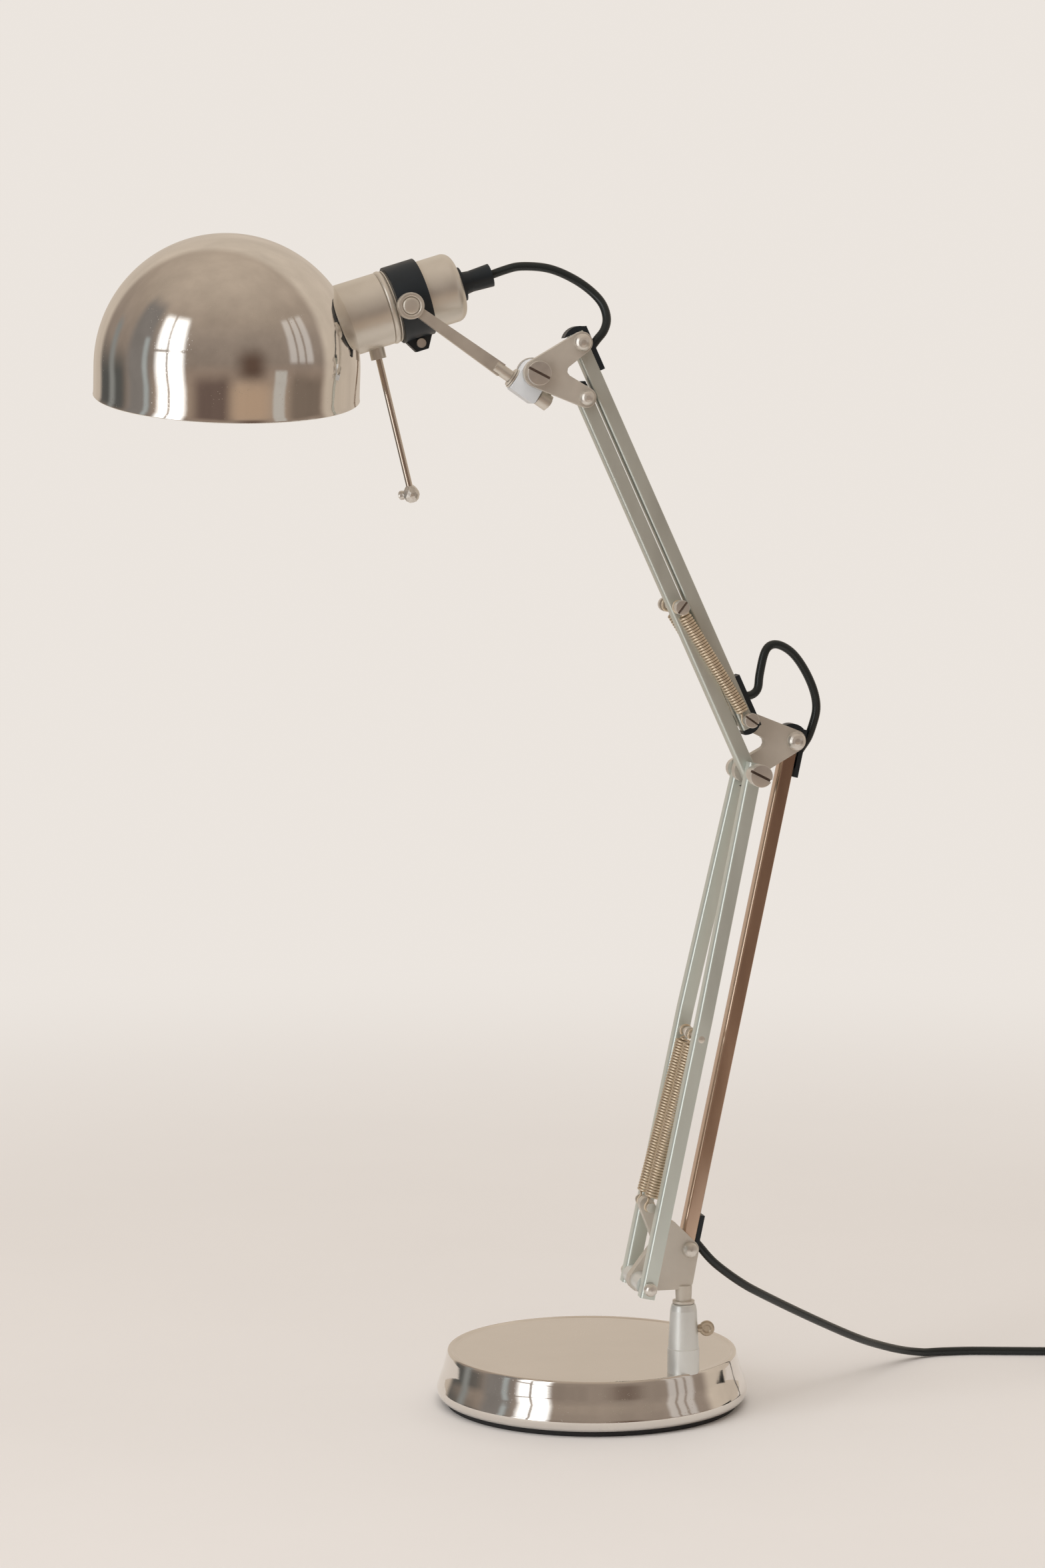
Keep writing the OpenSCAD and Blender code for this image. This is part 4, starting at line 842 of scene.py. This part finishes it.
def surface(name, color, metallic, roughness, spread=0.08, tint=0.04, scale=60.0, bump=0.0, bump_scale=900.0,
            stretch=(1, 1, 1), speck=0.0, coat=0.0):
    """A procedural finish: blotches of tone, uneven polish, a fine grain, and specks of dust.

    Spread and tint are how far polish and tone vary, bump is the grain's depth in metres, the scales
    are marks to a metre, and speck is the roughness that dust adds.
    """
    m = bpy.data.materials.new(name)
    m.use_nodes = True
    tree = m.node_tree
    bsdf = tree.nodes["Principled BSDF"]
    link = tree.links.new
    bsdf.inputs["Metallic"].default_value = metallic
    bsdf.inputs["Coat Weight"].default_value = coat
    bsdf.inputs["Coat Roughness"].default_value = 0.12
    coords = add(tree, "ShaderNodeTexCoord")
    mapping = add(tree, "ShaderNodeMapping", Scale=stretch)
    link(coords.outputs["Object"], mapping.inputs["Vector"])
    broad = add(tree, "ShaderNodeTexNoise", Scale=scale, Detail=6.0, Roughness=0.6)
    fine = add(tree, "ShaderNodeTexNoise", Scale=bump_scale, Detail=3.0, Roughness=0.6)
    link(mapping.outputs["Vector"], broad.inputs["Vector"])
    link(mapping.outputs["Vector"], fine.inputs["Vector"])
    ramp = add(tree, "ShaderNodeValToRGB")
    low, high = ramp.color_ramp.elements
    low.position, high.position = 0.3, 0.7
    low.color = (*[max(0.0, c * (1 - tint * 1.6)) for c in color], 1)
    high.color = (*[min(1.0, c * (1 + tint)) for c in color], 1)
    link(broad.outputs["Fac"], ramp.inputs["Fac"])
    link(ramp.outputs["Color"], bsdf.inputs["Base Color"])
    rough = (max(0.02, roughness - spread / 2), min(1.0, roughness + spread))
    polish = map_range(tree, broad.outputs["Fac"], (0.3, 0.72), rough)
    if speck > 0:
        dust = add(tree, "ShaderNodeTexVoronoi", Scale=DUST_SCALE)
        patches = add(tree, "ShaderNodeTexNoise", Scale=DUST_PATCHES, Detail=4.0)
        link(coords.outputs["Object"], dust.inputs["Vector"])
        link(coords.outputs["Object"], patches.inputs["Vector"])
        in_speck = map_range(tree, dust.outputs["Distance"], (0.10, 0.22), (1, 0))
        in_patch = map_range(tree, patches.outputs["Fac"], (0.47, 0.62), (0, speck))
        polish = calc(tree, "ADD", polish, calc(tree, "MULTIPLY", in_speck, in_patch))
    link(polish, bsdf.inputs["Roughness"])
    if bump > 0:
        grain = add(tree, "ShaderNodeBump", Strength=0.35, Distance=bump)
        link(fine.outputs["Fac"], grain.inputs["Height"])
        link(grain.outputs["Normal"], bsdf.inputs["Normal"])
    return m


# Name, tone, metallic, roughness, spread, tint, scale, bump, bump scale and stretch
CHROME = surface("chrome", (0.80, 0.765, 0.72), 1.0, 0.055, 0.03, 0.02, 25.0, 0.00002, 300.0, speck=0.3)
NICKEL = surface("nickel", (0.72, 0.68, 0.61), 0.78, 0.34, 0.10, 0.03, 90.0, 0.00004, 1400.0)
CAST = surface("cast_metal", (0.66, 0.62, 0.555), 0.62, 0.46, 0.12, 0.05, 70.0, 0.00006, 1600.0)
PLATE = surface("satin_plate", (0.74, 0.755, 0.735), 0.62, 0.36, 0.10, 0.03, 90.0, 0.00004, 1400.0)
# The bars' green tint is painted light from the cool windows; the lower bars' brighter copy of the same metal
# is painted light too
LIT_LOW_BARS = surface("lower_bar_metal_painted_lit", (0.69, 0.745, 0.70), 0.72, 0.33, 0.08, 0.03, 60.0, 0.00003, 900.0,
                   ALONG)
BARS = surface("bar_metal", (0.625, 0.655, 0.605), 0.72, 0.33, 0.08, 0.03, 60.0, 0.00003, 900.0, ALONG)
# The lead bar's copper-brown tone is a painted reflection of the warm room
POLISHED = surface("polished_bar_painted_warm_reflection", (0.66, 0.49, 0.375), 0.95, 0.16, 0.08, 0.06, 60.0, 0.00003, 700.0, ALONG)
SPRING = surface("spring_wire", (0.76, 0.65, 0.50), 0.9, 0.34, 0.10, 0.05, 160.0)
STEEL = surface("steel", (0.74, 0.71, 0.66), 0.85, 0.29, 0.10, 0.05, 110.0, 0.00004, 1200.0)
TARNISH = surface("tarnished_steel", (0.50, 0.42, 0.32), 0.9, 0.30, 0.10, 0.08, 200.0, 0.00004, 1200.0)
# Dark brown slot floors: painted shade in the slots, with some dirt
SLOT_SHADE_AND_DIRT = surface("slot_painted_shade_and_dirt", (0.17, 0.125, 0.10), 0.5, 0.5, 0.10, 0.15, 300.0)
# The rod's warm brown tone is a painted reflection of the warm cloth; its blotches are wear
ROD = surface("rod_wear_and_painted_reflection", (0.66, 0.575, 0.49), 1.0, 0.17, 0.08, 0.07, 260.0, 0.00002, 1100.0, (1, 1, 0.4))
BLACK = surface("black_plastic", (0.006, 0.0115, 0.0165), 0.0, 0.42, 0.10, 0.1, 140.0, 0.00003, 1500.0)
CORD = surface("lead_sheath", (0.008, 0.012, 0.0125), 0.0, 0.27, 0.05, 0.05, 120.0)
WHITE = surface("white_nylon", (0.70, 0.735, 0.77), 0.0, 0.38, 0.12, 0.03, 90.0, 0.00004, 1200.0)
CERAMIC = surface("ceramic", (0.80, 0.77, 0.70), 0.0, 0.3, 0.1, 0.04, 80.0, 0.00004, 900.0)
BRASS = surface("brass", (0.72, 0.57, 0.30), 1.0, 0.28, 0.12, 0.08, 120.0, 0.00004, 1100.0)
GLASS = surface("opal_glass", (0.88, 0.88, 0.85), 0.0, 0.14, 0.05, 0.01, 60.0, coat=0.6)
PAD = surface("pad_rubber", (0.02, 0.02, 0.021), 0.0, 0.7, 0.15, 0.2, 160.0, 0.0001, 900.0)
WEIGHT = surface("cast_iron", (0.13, 0.13, 0.135), 1.0, 0.55, 0.2, 0.15, 90.0, 0.0002, 500.0)


def wear(obj, material):
    """Gives a piece this finish alone."""
    obj.data.materials.clear()
    obj.data.materials.append(material)


FINISH = {
    CAST: ["bracket_casting", "elbow_casting", "head_casting"],
    PLATE: ["post", "post_nut", "bracket_spacers"],
    NICKEL: ["yoke_arm", "yoke_washers", "yoke_nut", "front_cup", "handle_boss"],
    ROD: ["handle_rod"],
    TARNISH: ["thumb_screw"],
    STEEL: ["bracket_bolt", "cord_bar_rivet", "spring_anchor", "elbow_screw", "elbow_cord_bar_rivet",
            "spring_stud", "upper_spring_pin", "head_rivets", "tilt_screw", "strap_bolt"],
    BLACK: ["lower_cord_bar_caps", "upper_plain_bar_caps", "upper_cord_bar_caps", "holder_strap",
            "strain_relief", "coil_tie", "plug"],
    WHITE: ["tilt_block"],
    CERAMIC: ["lamp_insert"],
    BRASS: ["screw_shell"],
    PAD: ["base_pad"],
    WEIGHT: ["base_weight"],
}
for material, names in FINISH.items():
    for n in names:
        wear(NODES[n], material)
for obj in bpy.data.objects:
    if obj.name.startswith("lead_"):
        wear(obj, CORD)
for material, objs in (
        (SPRING, springs), (CHROME, (shade, cover)), (NICKEL, (rear, ring, yoke_ring, button, low_pin)),
        (STEEL, knob + [lobes for lobes, core in heads]), (SLOT_SHADE_AND_DIRT, [core for lobes, core in heads]),
        (LIT_LOW_BARS, bars[:2]), (BARS, bars[2:]), (POLISHED, [lead_bar]), (BRASS, [screw_cap]),
        (GLASS, [glass])):
    for obj in objs:
        wear(obj, material)


def soften(name, width, segments=2):
    """Small rounded edges, width millimetres wide, on a carried over node."""
    obj = NODES[name]
    weld = obj.modifiers.new("weld", "WELD")
    weld.merge_threshold = 0.004 * MM
    flat = obj.modifiers.new("flats", "DECIMATE")
    flat.decimate_type = "DISSOLVE"
    flat.angle_limit = math.radians(1.5)
    bevel = obj.modifiers.new("edges", "BEVEL")
    bevel.width = width * MM
    bevel.segments = segments
    bevel.limit_method = "ANGLE"
    bevel.angle_limit = math.radians(38)
    bevel.use_clamp_overlap = True
    even_out = obj.modifiers.new("normals", "WEIGHTED_NORMAL")
    even_out.keep_sharp = False
    even_out.weight = 80


for n in ("bracket_casting", "elbow_casting", "head_casting"):
    soften(n, 0.75, segments=4)
for n in ("lower_cord_bar_caps", "upper_plain_bar_caps", "upper_cord_bar_caps", "tilt_block", "holder_strap",
          "plug", "coil_tie", "yoke_arm"):
    soften(n, 0.3)


# Floor, light and air
FAR = (0.835, 0.785, 0.735)  # the pale cloth in the distance
FLOOR_HALF = 14.0


def floor():
    """A pale floor that runs into the pale background, and that mirrors see only near the lamp."""
    corners = [(x * FLOOR_HALF, y * FLOOR_HALF, 0) for x, y in ((-1, -1), (1, -1), (1, 1), (-1, 1))]
    obj = piece("floor", corners, [(0, 1, 2, 3)], smooth=False)
    m = surface("pale_floor", (0.785, 0.78, 0.78), 0.0, 0.7, 0.05, 0.01, 3.0)
    tree = m.node_tree
    link = tree.links.new
    coords = add(tree, "ShaderNodeTexCoord")
    length = add(tree, "ShaderNodeVectorMath", operation="LENGTH")
    link(coords.outputs["Object"], length.inputs[0])
    path = add(tree, "ShaderNodeLightPath")

    def beyond(from_range, kind):
        """One for this kind of ray past a distance from the lamp, in metres."""
        far = map_range(tree, length.outputs["Value"], from_range, interpolation="SMOOTHSTEP")
        return calc(tree, "MULTIPLY", far, path.outputs[kind])

    near_floor = tree.nodes["Principled BSDF"]
    pale = add(tree, "ShaderNodeEmission", Color=(*FAR, 1))
    clear = add(tree, "ShaderNodeBsdfTransparent")
    first, second = add(tree, "ShaderNodeMixShader"), add(tree, "ShaderNodeMixShader")
    link(beyond((0.35, 1.5), "Is Camera Ray"), first.inputs["Fac"])
    link(near_floor.outputs["BSDF"], first.inputs[1])
    link(pale.outputs["Emission"], first.inputs[2])
    link(beyond((0.45, 0.8), "Is Glossy Ray"), second.inputs["Fac"])
    link(first.outputs["Shader"], second.inputs[1])
    link(clear.outputs["BSDF"], second.inputs[2])
    link(second.outputs["Shader"], tree.nodes["Material Output"].inputs["Surface"])
    wear(obj, m)


floor()


def panel(name, azimuth, elevation, distance, width, height, watts, color):
    """A soft pane of light that mirrors don't see; azimuth 0 is towards the viewer, minus to the left."""
    a, e = math.radians(azimuth), math.radians(elevation)
    target = Vector((-0.02, -0.02, 0.25))  # the lamp's middle
    way = Vector((math.cos(e) * math.sin(a), -math.cos(e) * math.cos(a), math.sin(e)))
    light = bpy.data.lights.new(name, "AREA")
    light.shape = "RECTANGLE"
    light.size, light.size_y = width, height
    light.energy = watts
    light.color = color
    obj = bpy.data.objects.new(name, light)
    bpy.context.scene.collection.objects.link(obj)
    obj.location = target + way * distance
    obj.rotation_euler = (-way).to_track_quat("-Z", "Y").to_euler()
    obj.visible_glossy = False


panel("key_panel", -52, 22, 2.7, 1.4, 1.9, 16, (0.97, 0.985, 1.0))
panel("sky_panel", -20, 66, 2.4, 2.6, 2.6, 30, (1.0, 0.985, 0.97))
panel("back_panel", 150, 50, 2.6, 2.4, 1.8, 10, (1.0, 0.98, 0.96))

air = bpy.data.worlds.new("air")
bpy.context.scene.world = air
air.use_nodes = True
tree = air.node_tree
for node in list(tree.nodes):
    tree.nodes.remove(node)
link = tree.links.new
out = add(tree, "ShaderNodeOutputWorld")
coords = add(tree, "ShaderNodeTexCoord")
split = add(tree, "ShaderNodeSeparateXYZ")
link(coords.outputs["Generated"], split.inputs["Vector"])


def air_ramp(source, stops):
    """Tones by a direction's share along an axis, from -1 to 1."""
    ramp = add(tree, "ShaderNodeValToRGB")
    e = ramp.color_ramp.elements
    e[0].position, e[0].color = stops[0][0], (*stops[0][1], 1)
    e[1].position, e[1].color = stops[-1][0], (*stops[-1][1], 1)
    for at, c in stops[1:-1]:
        e.new(at).color = (*c, 1)
    link(map_range(tree, split.outputs[source], (-1, 1)), ramp.inputs["Fac"])
    return ramp.outputs["Color"]


def times(a, b):
    """The product of two masks, or of a mask and a number."""
    return calc(tree, "MULTIPLY", a, b)


def plus(a, b):
    """The sum of two masks."""
    return calc(tree, "ADD", a, b)


def without(mask):
    """One where the mask is zero."""
    return calc(tree, "SUBTRACT", 1.0, mask)


def band(value, low, high, feather):
    """One between low and high, in degrees, with soft ends."""
    ends = []
    for at, levels in ((low, (0, 1)), (high, (1, 0))):
        edge = (math.radians(at - feather), math.radians(at + feather))
        ends.append(map_range(tree, value, edge, levels, "SMOOTHSTEP"))
    return times(*ends)


# Windows with soft edges and bars, as mirrors in the lamp see them
AZIMUTH = calc(tree, "ARCTAN2", split.outputs["X"], times(split.outputs["Y"], -1.0))
ELEVATION = calc(tree, "ARCSINE", split.outputs["Z"])


def window(left, right, low, high, bars, rails, strength, feather):
    """A bright pane between these degrees, with upright bars and level rails."""
    mask = times(band(AZIMUTH, left, right, feather), band(ELEVATION, low, high, feather))
    for at in bars:
        mask = times(mask, without(band(AZIMUTH, at - 1.1, at + 1.1, 0.7)))
    for at in rails:
        mask = times(mask, without(band(ELEVATION, at - 0.9, at + 0.9, 0.7)))
    return times(mask, strength)


def layer(under, color, mask):
    """A tone laid over another where the mask is one."""
    m = add(tree, "ShaderNodeMix", data_type="RGBA")
    link(under, m.inputs[6])
    if isinstance(color, tuple):
        m.inputs[7].default_value = (*color, 1)
    else:
        link(color, m.inputs[7])
    link(mask, m.inputs[0])
    return m.outputs[2]


# The room that the viewer stands in, from its floor to its ceiling, with what stands in it as soft patches
room_tone = air_ramp("Z", [
    (0.0, (0.36, 0.275, 0.21)), (0.3, (0.42, 0.325, 0.25)), (0.46, (0.33, 0.255, 0.205)),
    (0.53, (0.29, 0.235, 0.195)), (0.66, (0.33, 0.27, 0.225)), (0.82, (0.42, 0.345, 0.28)),
    (1.0, (0.55, 0.46, 0.375)),
])
for left, right, low, high, soft, color in (  # ends and soft edges in degrees
        (-142, -94, -62, 6, 9, (0.10, 0.10, 0.095)), (-118, -110, -40, 22, 4, (0.27, 0.275, 0.265)),
        (-92, -66, -45, 44, 6, (0.24, 0.22, 0.205)), (-74, -69, -30, 20, 2, (0.42, 0.45, 0.45)),
        (-26, 8, -31, -9, 8, (0.17, 0.12, 0.10)), (15, 36, -11, 12, 9, (0.125, 0.08, 0.06)),
        (8, 42, -34, -15, 9, (0.50, 0.36, 0.255)), (46, 57, -50, -3, 1.5, (0.55, 0.52, 0.48)),
        (62, 96, -42, -6, 6, (0.22, 0.17, 0.135))):
    patch = times(band(AZIMUTH, left, right, soft), band(ELEVATION, low, high, soft))
    room_tone = layer(room_tone, color, patch)

# The pale cloth behind the lamp begins further round on the left than on the right
cloth_tone = air_ramp("Z", [
    (0.0, (0.60, 0.50, 0.395)), (0.5, (0.60, 0.515, 0.43)), (1.0, (0.68, 0.59, 0.495)),
])
turned = plus(split.outputs["Y"], times(split.outputs["X"], 0.35))
on_cloth = map_range(tree, turned, (0.38, 0.56), interpolation="SMOOTHSTEP")
all_tones = layer(room_tone, cloth_tone, on_cloth)
clutter = add(tree, "ShaderNodeTexNoise", Scale=3.5, Detail=4.0, Roughness=0.6)
link(coords.outputs["Generated"], clutter.inputs["Vector"])
room = add(tree, "ShaderNodeBackground")
link(all_tones, room.inputs["Color"])
link(map_range(tree, clutter.outputs["Fac"], (0.3, 0.7), (0.92, 1.08)), room.inputs["Strength"])

left_window = window(-60, -34, -34, 38, (-49,), (12,), 1.5, 3.5)
sky_in_it = window(-47, -37, -16, 32, (), (), 1.3, 3.0)
right_window = window(60, 84, 3, 35, (68, 76), (), 0.3, 2.0)
panes = plus(plus(left_window, sky_in_it), right_window)
daylight = add(tree, "ShaderNodeBackground", Color=(0.93, 0.97, 1.0, 1))
link(panes, daylight.inputs["Strength"])
lit_room = add(tree, "ShaderNodeAddShader")
link(room.outputs["Background"], lit_room.inputs[0])
link(daylight.outputs["Background"], lit_room.inputs[1])
seen = add(tree, "ShaderNodeBackground", Color=(*FAR, 1))
path = add(tree, "ShaderNodeLightPath")
mix = add(tree, "ShaderNodeMixShader")
link(path.outputs["Is Camera Ray"], mix.inputs["Fac"])
link(lit_room.outputs["Shader"], mix.inputs[1])
link(seen.outputs["Background"], mix.inputs[2])
link(mix.outputs["Shader"], out.inputs["Surface"])
bpy.context.scene.view_settings.view_transform = "Standard"
